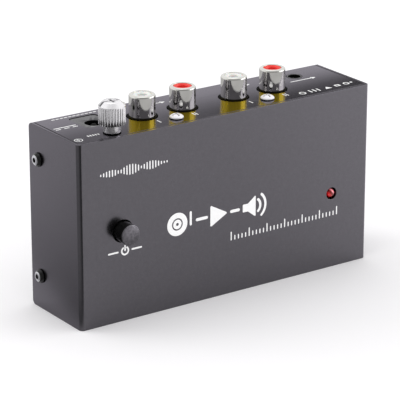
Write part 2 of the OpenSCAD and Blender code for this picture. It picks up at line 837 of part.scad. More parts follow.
// Leaf that presses on a power plug's sleeve
module power_jack_spring() {
    leaf_y = dc_bore_r + dc_spring_drop;
    color([0.8, 0.75, 0.6]) on_panel(dc_x, dc_y) {
        translate([-dc_spring_w / 2, leaf_y - push_gap, dc_spring_tail_z() - case_h])
            cube([dc_spring_w, dc_spring_t, dc_spring_slot_l - push_gap]);
        translate([-dc_tail_w / 2, leaf_y - push_gap, dc_spring_tail_z() - case_h])
            cube([dc_tail_w, dc_axis_h - leaf_y + push_gap + board_t + lead_out, dc_spring_t]);
    }
}

// Body and nose of the small jack
module small_jack_body() {
    bore_deep = sheet + mini_l - mini_end_wall;
    color([0.09, 0.09, 0.1]) on_panel(mini_x, mini_y) difference() {
        union() {
            translate([-mini_w / 2, mini_axis_h - mini_h, -sheet - mini_l]) cube([mini_w, mini_h, mini_l]);
            translate([0, 0, -sheet - cut]) cylinder(r = mini_nose_r, h = sheet + cut);
        }
        hole_down(mini_bore_r, bore_deep);
        for (m = [0, 1], z = mini_leaf_rests) mirror([m, 0, 0]) {
            translate([mini_w / 2 - mini_slot_deep, -mini_leaf_h, z - sheet - mini_slot_l])
                cube([mini_slot_deep + cut, mini_axis_h + mini_leaf_h + cut, mini_slot_l]);
        }
    }
}

// Four leaf contacts in the small jack's side slots
module small_jack_contacts() {
    leaf_x = mini_leaf_x();
    reach = mini_leaf_h + mini_axis_h + board_t + lead_out;
    color([0.8, 0.8, 0.7]) on_panel(mini_x, mini_y) {
        for (m = [0, 1], z = mini_leaf_rests) mirror([m, 0, 0]) {
            translate([leaf_x - mini_leaf_t / 2, -mini_leaf_h, z - sheet - mini_slot_l])
                cube([mini_leaf_t, 2 * mini_leaf_h, mini_slot_l]);
            translate([leaf_x - mini_leaf_t / 2, -mini_leaf_h, z - sheet - mini_slot_l / 2 - lead_w / 2])
                cube([mini_leaf_t, reach, lead_w]);
        }
    }
}

// Outline of the knurled band
module knurl_2d() {
    difference() {
        circle(knob_r);
        for (i = [1:knurl_count]) {
            rotate(i * 360 / knurl_count) translate([knob_r, 0]) rotate(45)
                square(knurl_cut, center = true);
        }
    }
}

// Knurled thumb screw of the ground terminal, with a crossed slot in its top
module ground_screw() {
    color([0.78, 0.78, 0.8]) on_panel(ground_x, ground_y) difference() {
        union() {
            translate([0, 0, -ground_screw_l])
                cylinder(r = ground_thread_r, h = ground_screw_l + knob_base);
            translate([0, 0, washer_t]) cylinder(r = neck_r, h = neck_h);
            translate([0, 0, knob_base]) linear_extrude(knurl_h) knurl_2d();
            translate([0, 0, knob_base + knurl_h]) rotate_extrude()
                plug_2d(knob_r, knob_top_h, knob_edge, 0);
        }
        translate([0, 0, knob_top - knob_slot_deep]) {
            standing_box(2 * knob_r + cut, knob_slot_w, knob_slot_deep + cut);
            standing_box(knob_slot_w, knob_cross_l, knob_slot_deep + cut);
        }
    }
}

// Washer that stays on the ground screw and clamps the earth lead
module ground_washer() {
    color([0.06, 0.06, 0.06]) on_panel(ground_x, ground_y) difference() {
        cylinder(r = washer_r, h = washer_t);
        translate([0, 0, washer_t]) hole_down(ground_thread_r + 2 * thread_gap, washer_t + cut);
    }
}

// Solder tag between the panel and the ground nut
module ground_tag() {
    color([0.8, 0.78, 0.7]) translate([ground_x, ground_y, wire_top_z]) difference() {
        union() {
            cylinder(r = tag_r, h = tag_t);
            translate([0, -tag_tail_w / 2, 0]) cube([wire_x - ground_x + wire_r, tag_tail_w, tag_t]);
        }
        translate([0, 0, tag_t]) hole_down(ground_thread_r + screw_gap, tag_t + cut);
    }
}

module ground_nut() {
    color([0.75, 0.75, 0.7]) translate([ground_x, ground_y, wire_top_z - nut_h]) difference() {
        cylinder(d = nut_flats / cos(30), h = nut_h, $fn = 6);
        translate([0, 0, nut_h]) hole_down(ground_thread_r + ground_run_gap, nut_h + cut);
    }
}

// Wire from the solder tag to the board
module ground_wire() {
    run_l = board_back_y + lead_out - ground_y - wire_bend;
    color([0.2, 0.5, 0.2]) translate([wire_x, ground_y, 0]) {
        translate([0, 0, wire_top_z - wire_drop]) cylinder(r = wire_r, h = wire_drop);
        translate([0, wire_bend, wire_top_z - wire_drop]) rotate([0, 90, 0]) rotate([0, 0, -90])
            rotate_extrude(angle = 90) translate([wire_bend, 0]) circle(wire_r);
        translate([0, wire_bend, wire_run_z]) rotate([-90, 0, 0]) cylinder(r = wire_r, h = run_l);
    }
}

// Round cap of the power button
module power_button() {
    color([0.15, 0.15, 0.16]) on_board(button_x, button_z) difference() {
        union() {
            translate([0, 0, button_top - button_head_l]) rotate_extrude()
                plug_2d(button_r, button_head_l, button_edge, 0);
            translate([0, 0, button_rear])
                cylinder(r = sleeve_r, h = button_top - button_rear - button_head_l / 2);
        }
        translate([0, 0, button_rear - cut]) cylinder(r = stem_r + push_gap, h = stem_grip + cut);
    }
}

// Stem of the switch, with the flange that the return spring pushes on
module switch_stem() {
    color([0.9, 0.9, 0.88]) on_board(button_x, button_z) {
        translate([0, 0, flange_rest]) cylinder(r = stem_r, h = stem_top - flange_rest);
        translate([0, 0, flange_rest]) standing_box(flange_w, flange_w, flange_t);
        translate([0, 0, guide_rest]) cylinder(r = guide_r, h = flange_rest - guide_rest + flange_t / 2);
    }
}

module switch_body() {
    inside_w = switch_w - 2 * switch_wall;
    color([0.2, 0.25, 0.5]) on_board(button_x, button_z) difference() {
        standing_box(switch_w, switch_w, switch_h);
        translate([0, 0, switch_wall]) standing_box(inside_w, inside_w, switch_h - 2 * switch_wall);
        translate([0, 0, switch_h]) hole_down(stem_r + running_gap, 2 * switch_wall);
    }
}

// Return spring, a wire of spring_sides flats wound round the stem's guide
module switch_spring() {
    length = flange_rest - switch_wall - 2 * spring_end_gap;
    steps = spring_turns * spring_steps;
    rise = (length - 2 * spring_wire_r) / steps;
    points = [
        for (i = [0:steps], k = [0:spring_sides - 1])
            let (
                turn = 360 * i / spring_steps,
                side = 360 * k / spring_sides,
                r = spring_r + spring_wire_r * cos(side)
            )
            [r * cos(turn), r * sin(turn), spring_wire_r * (1 + sin(side)) + rise * i]
    ];
    first_end = [for (k = [0:spring_sides - 1]) k];
    last_end = [for (k = [spring_sides - 1:-1:0]) steps * spring_sides + k];
    sides = [
        for (i = [0:steps - 1], k = [0:spring_sides - 1])
            let (next = (k + 1) % spring_sides, ring = i * spring_sides, after = ring + spring_sides)
            [ring + k, after + k, after + next, ring + next]
    ];
    color([0.8, 0.8, 0.8]) on_board(button_x, button_z) translate([0, 0, switch_wall + spring_end_gap])
        polyhedron(points, concat([first_end], sides, [last_end]));
}

module switch_pins() {
    color([0.85, 0.85, 0.8]) on_board(button_x, button_z) for (i = [-1:1], s = [-1, 1]) {
        lead(s * switch_pin_row / 2, i * switch_pin_pitch, 0);
    }
}

module lamp_lens() {
    color([0.8, 0.08, 0.06]) on_board(lamp_x, lamp_z) {
        translate([0, 0, lens_rest]) cylinder(r = rim_r, h = rim_h);
        translate([0, 0, lens_rest]) cylinder(r = lens_r, h = lens_l - lens_r);
        translate([0, 0, lens_top - lens_r]) sphere(lens_r);
    }
}

module lamp_leads() {
    color([0.85, 0.85, 0.85]) on_board(lamp_x, lamp_z) for (s = [-1, 1]) {
        lead(s * lamp_lead_pitch / 2, 0, lens_rest);
    }
}

// Tube that carries the lamp at the labelled face and keeps its leads apart
module lamp_spacer() {
    color([0.07, 0.07, 0.07]) on_board(lamp_x, lamp_z) difference() {
        cylinder(r = spacer_r, h = spacer_top);
        translate([0, 0, lens_rest]) cylinder(r = rim_r + push_gap, h = lens_l);
        for (s = [-1, 1]) translate([s * lamp_lead_pitch / 2, 0, lens_rest])
            hole_down(lead_hole_r, lens_rest + cut);
    }
}

// Round capacitors with a crimp near the foot, standing at the given places
module round_capacitors(places, r, h, pitch) {
    for (p = places) on_board(p[0], p[1]) {
        rotate_extrude() polygon([
            [0, 0], [r, 0], [r, crimp_rise], [r - crimp_deep, crimp_rise + crimp_w / 2],
            [r, crimp_rise + crimp_w], [r, h], [r - sleeve_top, h],
            [r - sleeve_top, h - crimp_deep], [0, h - crimp_deep]
        ]);
        for (s = [-1, 1]) lead(s * pitch / 2, 0, 0);
    }
}

module supply_capacitors() {
    color([0.1, 0.12, 0.3]) round_capacitors(supply_cap_at, supply_cap_r, supply_cap_h, supply_lead_pitch);
}

module coupling_capacitors() {
    color([0.15, 0.2, 0.18])
        round_capacitors(coupling_cap_at, coupling_cap_r, coupling_cap_h, cap_lead_pitch);
}

module film_capacitors() {
    color([0.65, 0.15, 0.1]) for (p = film_cap_at) on_board(p[0], p[1]) {
        standing_box(film_cap_l, film_cap_t, film_cap_h);
        for (s = [-1, 1]) lead(s * film_lead_pitch / 2, 0, 0);
    }
}

// Eight-legged amplifier chip
module amplifier_chip(x) {
    color([0.1, 0.1, 0.1]) on_board(x, chip_z) {
        translate([0, 0, chip_lift]) standing_box(chip_l, chip_w, chip_h);
        for (i = [-1.5:1.5], s = [-1, 1]) {
            lead(i * chip_lead_pitch, s * chip_lead_row / 2, chip_leg_h);
            translate([i * chip_lead_pitch, s * (chip_lead_row + chip_w) / 4, chip_leg_h])
                standing_box(lead_w, (chip_lead_row - chip_w) / 2 + lead_w, chip_leg_t);
        }
    }
}

// Parts with a round body that lies between two bent leads
module axial_parts(places, body_r, body_l) {
    axis_h = body_r + push_gap;
    half_pitch = axial_lead_pitch / 2;
    drop = board_t + lead_out;
    for (p = places) on_board(p[0], p[1]) {
        translate([-body_l / 2, 0, axis_h]) rotate([0, 90, 0]) cylinder(r = body_r, h = body_l);
        translate([-half_pitch, 0, axis_h]) rotate([0, 90, 0])
            cylinder(r = axial_lead_r, h = axial_lead_pitch);
        for (s = [-1, 1]) {
            translate([s * half_pitch, 0, axis_h]) sphere(axial_lead_r);
            translate([s * half_pitch, 0, -drop]) cylinder(r = axial_lead_r, h = drop + axis_h);
        }
    }
}

module resistors() {
    color([0.3, 0.55, 0.7]) axial_parts(resistor_at, resistor_r, resistor_l);
}

module diodes() {
    color([0.12, 0.12, 0.12]) axial_parts(diode_at, diode_r, diode_l);
}

// Three-legged regulator with a flat front
module voltage_regulator() {
    color([0.1, 0.1, 0.1]) on_board(regulator_at[0], regulator_at[1]) {
        translate([0, 0, regulator_lift]) difference() {
            cylinder(r = regulator_r, h = regulator_h);
            translate([-regulator_r, regulator_flat, -cut])
                cube([2 * regulator_r, regulator_r, regulator_h + 2 * cut]);
        }
        for (i = [-1:1]) lead(i * regulator_lead_pitch, 0, regulator_lift);
    }
}

cover();
chassis();
side_screws();
rubber_feet();
circuit_board();
standoffs();
board_screws();
socket_block(input_x);  // input_socket_block
socket_block(output_x);  // output_socket_block
socket_shell(input_xs[0]);  // shell_input_left
socket_shell(input_xs[1]);  // shell_input_right
socket_shell(output_xs[0]);  // shell_output_left
socket_shell(output_xs[1]);  // shell_output_right
socket_insert(input_xs[0], white);  // insert_input_left
socket_insert(input_xs[1], red);  // insert_input_right
socket_insert(output_xs[0], white);  // insert_output_left
socket_insert(output_xs[1], red);  // insert_output_right
socket_contact(input_xs[0]);  // contact_input_left
socket_contact(input_xs[1]);  // contact_input_right
socket_contact(output_xs[0]);  // contact_output_left
socket_contact(output_xs[1]);  // contact_output_right
socket_screws();
power_jack_body();
power_jack_pin();
power_jack_spring();
small_jack_body();
small_jack_contacts();
ground_screw();
ground_washer();
ground_tag();
ground_nut();
ground_wire();
power_button();
switch_stem();
switch_body();
switch_spring();
switch_pins();
lamp_lens();
lamp_leads();
lamp_spacer();
supply_capacitors();
coupling_capacitors();
film_capacitors();
amplifier_chip(input_x);  // input_chip
amplifier_chip(output_x);  // output_chip
resistors();
diodes();
voltage_regulator();
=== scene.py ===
"""Phono preamp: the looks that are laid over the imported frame.

Lengths are metres in the frame's own axes: +Z leaves the connector panel, -Y leaves the
labelled face, +Y leaves the base and X runs along the case.
"""

import math

import bmesh
import bpy
import numpy as np
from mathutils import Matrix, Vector
from mathutils.geometry import delaunay_2d_cdt


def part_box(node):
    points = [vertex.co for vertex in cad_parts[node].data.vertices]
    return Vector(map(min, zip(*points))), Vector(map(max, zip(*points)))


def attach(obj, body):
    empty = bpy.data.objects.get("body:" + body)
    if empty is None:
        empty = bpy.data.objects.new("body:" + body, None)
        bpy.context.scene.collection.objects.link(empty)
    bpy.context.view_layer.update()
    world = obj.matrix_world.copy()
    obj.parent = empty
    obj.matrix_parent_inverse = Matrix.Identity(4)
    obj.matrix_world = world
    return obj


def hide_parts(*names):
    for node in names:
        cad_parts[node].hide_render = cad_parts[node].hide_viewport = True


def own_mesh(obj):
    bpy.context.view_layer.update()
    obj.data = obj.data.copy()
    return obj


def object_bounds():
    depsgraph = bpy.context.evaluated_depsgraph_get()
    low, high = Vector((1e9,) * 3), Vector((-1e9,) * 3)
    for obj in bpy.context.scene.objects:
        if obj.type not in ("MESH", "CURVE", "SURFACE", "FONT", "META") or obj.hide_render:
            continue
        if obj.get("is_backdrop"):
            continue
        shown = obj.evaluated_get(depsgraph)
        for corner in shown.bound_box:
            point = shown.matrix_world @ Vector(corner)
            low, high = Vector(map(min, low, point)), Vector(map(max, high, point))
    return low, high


bl_info = {
    "name": "Phono preamp",
    "version": (1, 0, 0),
    "blender": (4, 5, 0),
    "location": "3D View > Sidebar > Preamp",
    "description": "Builds the pieces, finishes and stage of a small phono preamp",
    "category": "Object",
}

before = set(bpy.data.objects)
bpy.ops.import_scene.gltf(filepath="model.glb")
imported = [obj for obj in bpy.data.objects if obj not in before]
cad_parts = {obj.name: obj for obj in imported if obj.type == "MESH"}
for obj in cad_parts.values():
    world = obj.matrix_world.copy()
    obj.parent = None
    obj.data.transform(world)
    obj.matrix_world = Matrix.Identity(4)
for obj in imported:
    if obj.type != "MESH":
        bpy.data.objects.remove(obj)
CAD_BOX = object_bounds()

MM = 0.001
WELD = 0.0005 * MM
TINY = 1e-6
QUARTER = math.pi / 2
TURN = 2 * math.pi
SMOOTH_ANGLE = math.radians(40)

COVER_LOW, COVER_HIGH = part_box("cover")
CHASSIS_LOW, CHASSIS_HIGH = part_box("chassis")
BUTTON_LOW, BUTTON_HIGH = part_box("power_button")
LENS_LOW, LENS_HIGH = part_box("lamp_lens")
KNOB_LOW, KNOB_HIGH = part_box("ground_screw")
DC_LOW, DC_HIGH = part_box("power_jack_body")
SMALL_LOW, SMALL_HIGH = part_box("small_jack_body")
SHELL_NODES = ("shell_input_left", "shell_input_right", "shell_output_left", "shell_output_right")
PANEL_Z = COVER_HIGH[2]
PANEL_WALL = 1.0 * MM
FACE_Y = COVER_LOW[1]

# Radii and distances that more than one piece keeps to
BUTTON_GAP = 0.3 * MM
LENS_R, LENS_HOLE_R = 1.5 * MM, 2.0 * MM
SIDE_HEAD_R, SIDE_HOLE_R, SIDE_THREAD_R = 2.25 * MM, 1.5 * MM, 1.3 * MM
SOCKET_HEAD_R, SOCKET_HOLE_R = 2.2 * MM, 1.7 * MM
GROUND_HOLE_R = 1.75 * MM
DC_FACE_DEPTH, DC_AXIS_DEPTH, DC_CORNER_R = 11.0 * MM, 7.2 * MM, 1.2 * MM
SMALL_AXIS_DEPTH, SMALL_HOLE_R = 3.2 * MM, 2.65 * MM


def centre_of(node, *axes):
    """Middle of a CAD node's box, along the given axes."""
    low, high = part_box(node)
    return [(low[a] + high[a]) / 2 for a in axes]


# ---------------------------------------------------------------------------
# Sizes and colours


def length(name, description, default):
    """A length that the sidebar shows in the scene's unit."""
    return bpy.props.FloatProperty(
        name=name, description=description, default=default, min=0.0, unit="LENGTH",
        subtype="DISTANCE", precision=5,
    )


def colour(name, description, default):
    """A linear colour."""
    return bpy.props.FloatVectorProperty(
        name=name, description=description, default=default, size=3, subtype="COLOR",
        min=0.0, max=1.0,
    )


def factor(name, description, default, high=1.0):
    """A plain number from nothing to high."""
    return bpy.props.FloatProperty(
        name=name, description=description, default=default, min=0.0, max=high,
        subtype="FACTOR",
    )


def point(name, description, default):
    """A place in the scene."""
    return bpy.props.FloatVectorProperty(
        name=name, description=description, default=default, size=3, unit="LENGTH",
        subtype="TRANSLATION",
    )


class PreampStageSettings(bpy.types.PropertyGroup):
    """Camera, floor, card, world and lamps"""

    camera_at: point("Camera place", "Where the camera stands", (-0.4017, -0.5756, 0.2786))
    look_at: point("Camera target", "Point that the camera looks at", (-0.00123, 0.0, 0.0274))
    lens: bpy.props.FloatProperty(
        name="Lens", description="Focal length of the camera", default=211.8, unit="CAMERA"
    )
    floor_size: length("Floor", "Half of the floor's width", 6.0)
    floor_albedo: factor("Floor", "Share of the light that the floor gives back", 0.98)
    floor_front: factor("Front floor", "Share that satin surfaces show in front, on the left", 0.81)
    floor_left: factor("Left floor", "The same beside the case", 0.725)
    floor_corner: factor("Corner floor", "The same from the left to the camera", 0.21)
    floor_mirror: factor("Mirrored floor", "The same in mirrors", 0.46)
    ambient: factor("Ambient", "Strength of the light from all round", 0.975, 4.0)
    mirrored: factor("Mirrored", "Strength of the surroundings in glossy surfaces", 0.95, 4.0)
    card_foot: factor("Card foot", "Strength of the card behind the panel, at its foot", 0.95, 2.0)
    card_left: factor("Card left", "The same higher up, on the left", 0.42, 2.0)
    card_right: factor("Card right", "The same higher up, on the right", 0.1, 2.0)
    front: factor("Front", "Strength of the dark room in front, in glossy surfaces", 0.3, 4.0)
    front_toward: bpy.props.FloatVectorProperty(
        name="Front direction", description="Where the middle of the dark room is", size=3,
        default=(-0.48, -0.83, 0.25), subtype="DIRECTION",
    )
    right_power: factor("Right", "Power of the lamp in front on the right, in watts", 1.35, 100.0)
    left_power: factor("Left", "Power of the lamp behind the left side, in watts", 1.2, 100.0)
    top_power: factor("Top", "Power of the lamp over the case, in watts", 0.35, 100.0)


class PreampCaseSettings(bpy.types.PropertyGroup):
    """Folded case, its screws and feet"""

    sheet: length("Sheet", "Thickness of the steel sheet", 1.0 * MM)
    fold: length("Fold", "Outside radius of the folds", 1.4 * MM)
    edge: length("Edge", "Rounding of the sheet's cut edges", 0.14 * MM)
    screw_depth: length("Screw depth", "Distance of the side screws from the base", 5.4 * MM)
    tab_width: length("Tab width", "Width of the chassis's screw tabs", 10.0 * MM)
    coat: colour("Coat", "Metallic coat of the cover", (0.1355, 0.13, 0.143))
    panel_coat: colour("Panel coat", "Glossy coat of the chassis", (0.112, 0.108, 0.118))
    grain: length("Grain", "Size of the coat's grains", 0.55 * MM)


class PreampSocketSettings(bpy.types.PropertyGroup):
    """Phono sockets, power jack and small jack"""

    lip: length("Lip", "Radius of the rounded lip of a shell", 0.7 * MM)
    mouth: length("Mouth", "Radius of a shell's mouth", 2.9 * MM)
    wall: length("Wall", "Wall of a shell", 0.5 * MM)
    pin_hole: length("Pin hole", "Radius of the hole for a plug's pin", 1.7 * MM)
    collar: length("Collar", "Radius of the black collars", 4.8 * MM)
    collar_height: length("Collar height", "Height of the collars over the panel", 0.22 * MM)
    red: colour("Red", "Right channel", (0.88, 0.05, 0.04))
    white: colour("White", "Left channel", (0.86, 0.86, 0.84))
    nickel: colour("Nickel", "Bright plating", (0.80, 0.795, 0.755))
    painted_reflection_gold: colour("Gold", "What the glossy panel shows of the plating", (1.0, 0.75, 0.035))


class PreampControlSettings(bpy.types.PropertyGroup):
    """Ground terminal, power button and lamp"""

    grooves: bpy.props.IntProperty(
        name="Grooves", description="Number of grooves round the ground screw", default=28, min=8
    )
    groove: length("Groove", "Depth of a groove", 0.3 * MM)
    slot: length("Slot", "Width of the ground screw's slots", 0.85 * MM)
    slot_turn: bpy.props.FloatProperty(
        name="Slot turn", description="Angle of the long slot from the case's length",
        default=math.radians(-7.0), subtype="ANGLE",
    )
    button_edge: length("Button edge", "Rounding of the button's front", 0.35 * MM)
    button: colour("Button", "Lacquer of the button's front", (0.18, 0.172, 0.19))
    lamp: colour("Lamp", "Plastic of the lamp", (0.95, 0.012, 0.015))


class PreampPrintSettings(bpy.types.PropertyGroup):
    """White marks printed on the case"""

    ink: colour("Ink", "Colour of the marks", (0.93, 0.93, 0.93))
    thickness: length("Ink thickness", "How far the ink stands on the coat", 0.03 * MM)


SETTINGS = {
    "preamp_stage": PreampStageSettings,
    "preamp_case": PreampCaseSettings,
    "preamp_sockets": PreampSocketSettings,
    "preamp_controls": PreampControlSettings,
    "preamp_prints": PreampPrintSettings,
}


# ---------------------------------------------------------------------------
# Surfaces


def grid_faces(rows, columns, closed_rows=False, closed_columns=False):
    """Quads between neighbouring rows and columns of points that are stored row by row."""
    i = np.arange(rows if closed_rows else rows - 1)[:, None]
    j = np.arange(columns if closed_columns else columns - 1)[None, :]
    here, across = i * columns, ((i + 1) % rows) * columns
    beside = (j + 1) % columns
    return np.stack([here + j, here + beside, across + beside, across + j], -1).reshape(-1, 4)


def around(angle):
    """Points of the unit circle: the cosine and the sine of each angle."""
    return np.stack([np.cos(angle), np.sin(angle)], -1)


def rounded(corners, radii, closed=False, steps=6):
    """Line through the corners, in which an arc that touches both sides stands for each corner.

    The arc's centre lies on the corner's bisector, a radius over the sine of half the corner's
    angle away from it.
    """
    corners = np.asarray(corners, float)
    radii = np.broadcast_to(np.asarray(radii, float), len(corners))
    last = len(corners) - 1
    parts = []
    for k, (corner, radius) in enumerate(zip(corners, radii)):
        if radius <= 0 or (not closed and k in (0, last)):
            parts.append(corner[None])
            continue
        to_before = corners[k - 1] - corner
        to_after = corners[(k + 1) % len(corners)] - corner
        to_before /= np.linalg.norm(to_before)
        to_after /= np.linalg.norm(to_after)
        half = math.acos(np.clip(to_before @ to_after, -1, 1)) / 2
        middle = to_before + to_after
        centre = corner + middle / np.linalg.norm(middle) * radius / math.sin(half)
        reach = radius / math.tan(half)
        first, final = (corner + way * reach - centre for way in (to_before, to_after))
        start = math.atan2(first[1], first[0])
        sweep = (math.atan2(final[1], final[0]) - start + math.pi) % TURN - math.pi
        parts.append(centre + radius * around(start + sweep * np.linspace(0, 1, steps + 1)))
    return np.concatenate(parts)


def circle(centre, radius, sides=64):
    """Closed loop: the centre plus the radius times the cosine and sine of each angle."""
    return np.asarray(centre, float) + radius * around(np.arange(sides) * TURN / sides)


def rectangle(low, high, radius=0.0, steps=6):
    """Closed loop round a rectangle, with an arc at each corner."""
    corners = [low, (high[0], low[1]), high, (low[0], high[1])]
    return rounded(corners, radius, closed=True, steps=steps)


def inset(loop, distance):
    """Each point of a closed loop, moved to its left along the mitre of its two sides."""
    ahead = np.roll(loop, -1, 0) - loop
    behind = np.roll(ahead, 1, 0)
    left = [
        np.stack([-way[:, 1], way[:, 0]], -1) / np.linalg.norm(way, axis=1)[:, None]
        for way in (ahead, behind)
    ]
    mitre = left[0] + left[1]
    mitre = mitre / np.sum(mitre * left[0], axis=1)[:, None]
    return loop + distance * mitre


def crossing_points(loop, stations):
    """The closed loop with a point added wherever a side crosses one of the stations in u."""
    parts = []
    for start, stop in zip(loop, np.roll(loop, -1, 0)):
        parts.append(start[None])
        span = stop[0] - start[0]
        if abs(span) < WELD:
            continue
        share = np.sort((np.asarray(stations) - start[0]) / span)
        share = share[(share > TINY) & (share < 1 - TINY)]
        parts.append(start + share[:, None] * (stop - start))
    return np.concatenate(parts)


def inside(points, loops):
    """True where a ray from the point towards +u crosses an odd number of the loops' sides."""
    crossings = np.zeros(len(points), int)
    u, v = points[:, 0], points[:, 1]
    for loop in loops:
        start, stop = loop[:, None, :], np.roll(loop, -1, 0)[:, None, :]
        rises = (start[..., 1] > v) != (stop[..., 1] > v)
        run = np.where(rises, stop[..., 1] - start[..., 1], 1)
        meets = start[..., 0] + (v - start[..., 1]) / run * (stop[..., 0] - start[..., 0])
        crossings += np.sum(rises & (u < meets), axis=0)
    return crossings % 2 == 1


def filled(loops, stations=()):
    """Triangles that fill the outline and leave its holes, with an edge along each station."""
    flat = np.concatenate(loops)
    sides, first = [], 0
    for loop in loops:
        index = first + np.arange(len(loop))
        sides += np.stack([index, np.roll(index, -1)], -1).tolist()
        first += len(loop)
    for station in stations:
        on_line = np.flatnonzero(np.abs(loops[0][:, 0] - station) < WELD)
        if len(on_line) == 2:
            sides.append(on_line.tolist())
    places = [Vector(place) for place in (flat / MM).tolist()]
    _, _, faces, origin, _, _ = delaunay_2d_cdt(places, sides, [], 0, 1e-5)
    source = np.array([o[0] if o else -1 for o in origin])
    triangles = source[np.array(faces)]
    triangles = triangles[(triangles >= 0).all(1)]
    return triangles[inside(flat[triangles].mean(1), loops)]


def plate(loops, thickness, edge, place, stations=(), steps=3):
    """Plate whose edges are rounded, laid out flat and then put in place.

    The first loop is the outline and the others are holes, which are run the other way round.
    Each loop is repeated as rings: it is inset by edge times one minus the sine, at a depth of
    edge times one minus the cosine, and the same from the other side. place turns u, v and
    depth into x, y and z.
    """
    outline, *holes = loops
    loops = [crossing_points(outline, stations), *(loop[::-1] for loop in holes)]
    angle = np.linspace(0, QUARTER, steps + 1)
    inward, deep = edge * (1 - np.sin(angle)), edge * (1 - np.cos(angle))
    inward, deep = np.append(inward, inward[::-1]), np.append(deep, (thickness - deep)[::-1])
    points, faces, top, bottom, first = [], [], [], [], 0
    for loop in loops:
        points += [
            np.column_stack([inset(loop, i), np.full(len(loop), d)]) for i, d in zip(inward, deep)
        ]
        faces += (first + grid_faces(len(deep), len(loop), closed_columns=True)).tolist()
        index = first + np.arange(len(loop))
        top.append(index)
        bottom.append(index + (len(deep) - 1) * len(loop))
        first += len(deep) * len(loop)
    triangles = filled([inset(loop, edge) for loop in loops], stations)
    faces += np.concatenate(top)[triangles].tolist()
    faces += np.concatenate(bottom)[triangles][:, ::-1].tolist()
    return place(*np.concatenate(points).T), faces


def level(top):
    """Puts a plate below a height: u is x and v is y."""
    def place(u, v, deep):
        return np.stack([u, v, top - deep], -1)
    return place


def folded(start, heading, legs, radius, steps=8):
    """Section of a sheet with a quarter turn to the left between its straight legs.

    The first result is a function that turns the way along the outer skin and the depth below
    it into two coordinates: the legs and arcs up to there are added, and the depth goes to the
    left. The others are the whole way, and the stations of the edges that follow the folds.
    """
    arc = radius * QUARTER
    begins = np.cumsum([0] + [leg + arc for leg in legs])
    stations = (begins[1:-1, None] - arc + np.linspace(0, arc, steps + 1)).ravel()

    def section(along, deep):
        across, up = np.full_like(along, start[0]), np.full_like(along, start[1])
        turned_by = np.full_like(along, heading)
        for k, (begin, leg) in enumerate(zip(begins, legs)):
            first = heading + k * QUARTER
            straight = np.clip(along - begin, 0, leg)
            across += straight * math.cos(first)
            up += straight * math.sin(first)
            if k < len(legs) - 1:
                angle = np.clip((along - begin - leg) / radius, 0, QUARTER)
                across += radius * (np.sin(first + angle) - math.sin(first))
                up += radius * (math.cos(first) - np.cos(first + angle))
                turned_by += angle
        return across - deep * np.sin(turned_by), up + deep * np.cos(turned_by)

    return section, begins[-1] - arc, stations


def polar_rows(rows, angle, ring=False):
    """Surface of revolution: a radius r and a height z go to r cos a, r sin a, z for each angle a.

    The radius and the height of a row may change with the angle. ring joins the last row to the
    first, as in a tube's wall.
    """
    r, z = (
        np.stack([np.broadcast_to(values, angle.shape) for values in part]) for part in zip(*rows)
    )
    points = np.stack([r * np.cos(angle), r * np.sin(angle), z], -1)
    return points.reshape(-1, 3), grid_faces(len(r), len(angle), ring, True).tolist()


def turned(profile, sides=96, ring=False):
    """Surface of revolution of a profile of plain radii and heights."""
    return polar_rows(profile, np.arange(sides) * TURN / sides, ring)


def coil(radius, wire, turns, tall, per_turn=40, sides=12):
    """Round wire whose middle turns evenly round +Z while it rises, from height 0 to tall."""
    turn = np.linspace(0, turns * TURN, turns * per_turn + 1)[:, None]
    side = np.arange(sides)[:, None] * TURN / sides
    rise = (tall - 2 * wire) / (turns * TURN)
    outward = np.hstack([np.cos(turn), np.sin(turn), 0 * turn])
    onward = np.hstack([-radius * np.sin(turn), radius * np.cos(turn), rise + 0 * turn])
    upward = np.cross(outward, onward / math.hypot(radius, rise))
    middle = radius * outward + np.hstack([0 * turn, 0 * turn, wire + rise * turn])
    about = np.cos(side) * outward[:, None] + np.sin(side) * upward[:, None]
    rings = middle[:, None] + wire * about
    ends = [np.broadcast_to(middle[i], (1, sides, 3)) for i in (0, -1)]
    points = np.concatenate([ends[0], rings, ends[1]])
    return points.reshape(-1, 3), grid_faces(len(points), sides, closed_columns=True).tolist()


def strip(low, high):
    """Plain bar between two corners."""
    share = np.array([[x, y, z] for x in (0, 1) for y in (0, 1) for z in (0, 1)])
    points = np.asarray(low) + share * (np.asarray(high) - np.asarray(low))
    faces = [[0, 1, 3, 2], [4, 6, 7, 5], [0, 4, 5, 1], [2, 3, 7, 6], [0, 2, 6, 4], [1, 5, 7, 3]]
    return points, faces


def rounded_block(low, high, edge):
    """Bar between two corners whose outline and ends are rounded."""
    loop = rectangle(low[:2], high[:2], 2 * edge)
    return plate([loop], high[2] - low[2], edge, level(high[2]))


def put(shell, origin, out="+Z"):
    """Moves a shell to the origin, with its own +Z turned to the direction out."""
    points, faces = shell
    x, y, z = points.T
    spun = {
        "+Z": (x, y, z),
        "-Y": (x, -z, y),
        "+Y": (-x, z, y),
        "+X": (z, y, -x),
        "-X": (-z, y, x),
    }[out]
    return np.stack(spun, -1) + np.asarray(origin), faces


def joined(shells):
    """Several shells as one."""
    points, faces, first = [], [], 0
    for shell_points, shell_faces in shells:
        points.append(shell_points)
        faces += [[first + i for i in face] for face in shell_faces]
        first += len(shell_points)
    return np.concatenate(points), faces


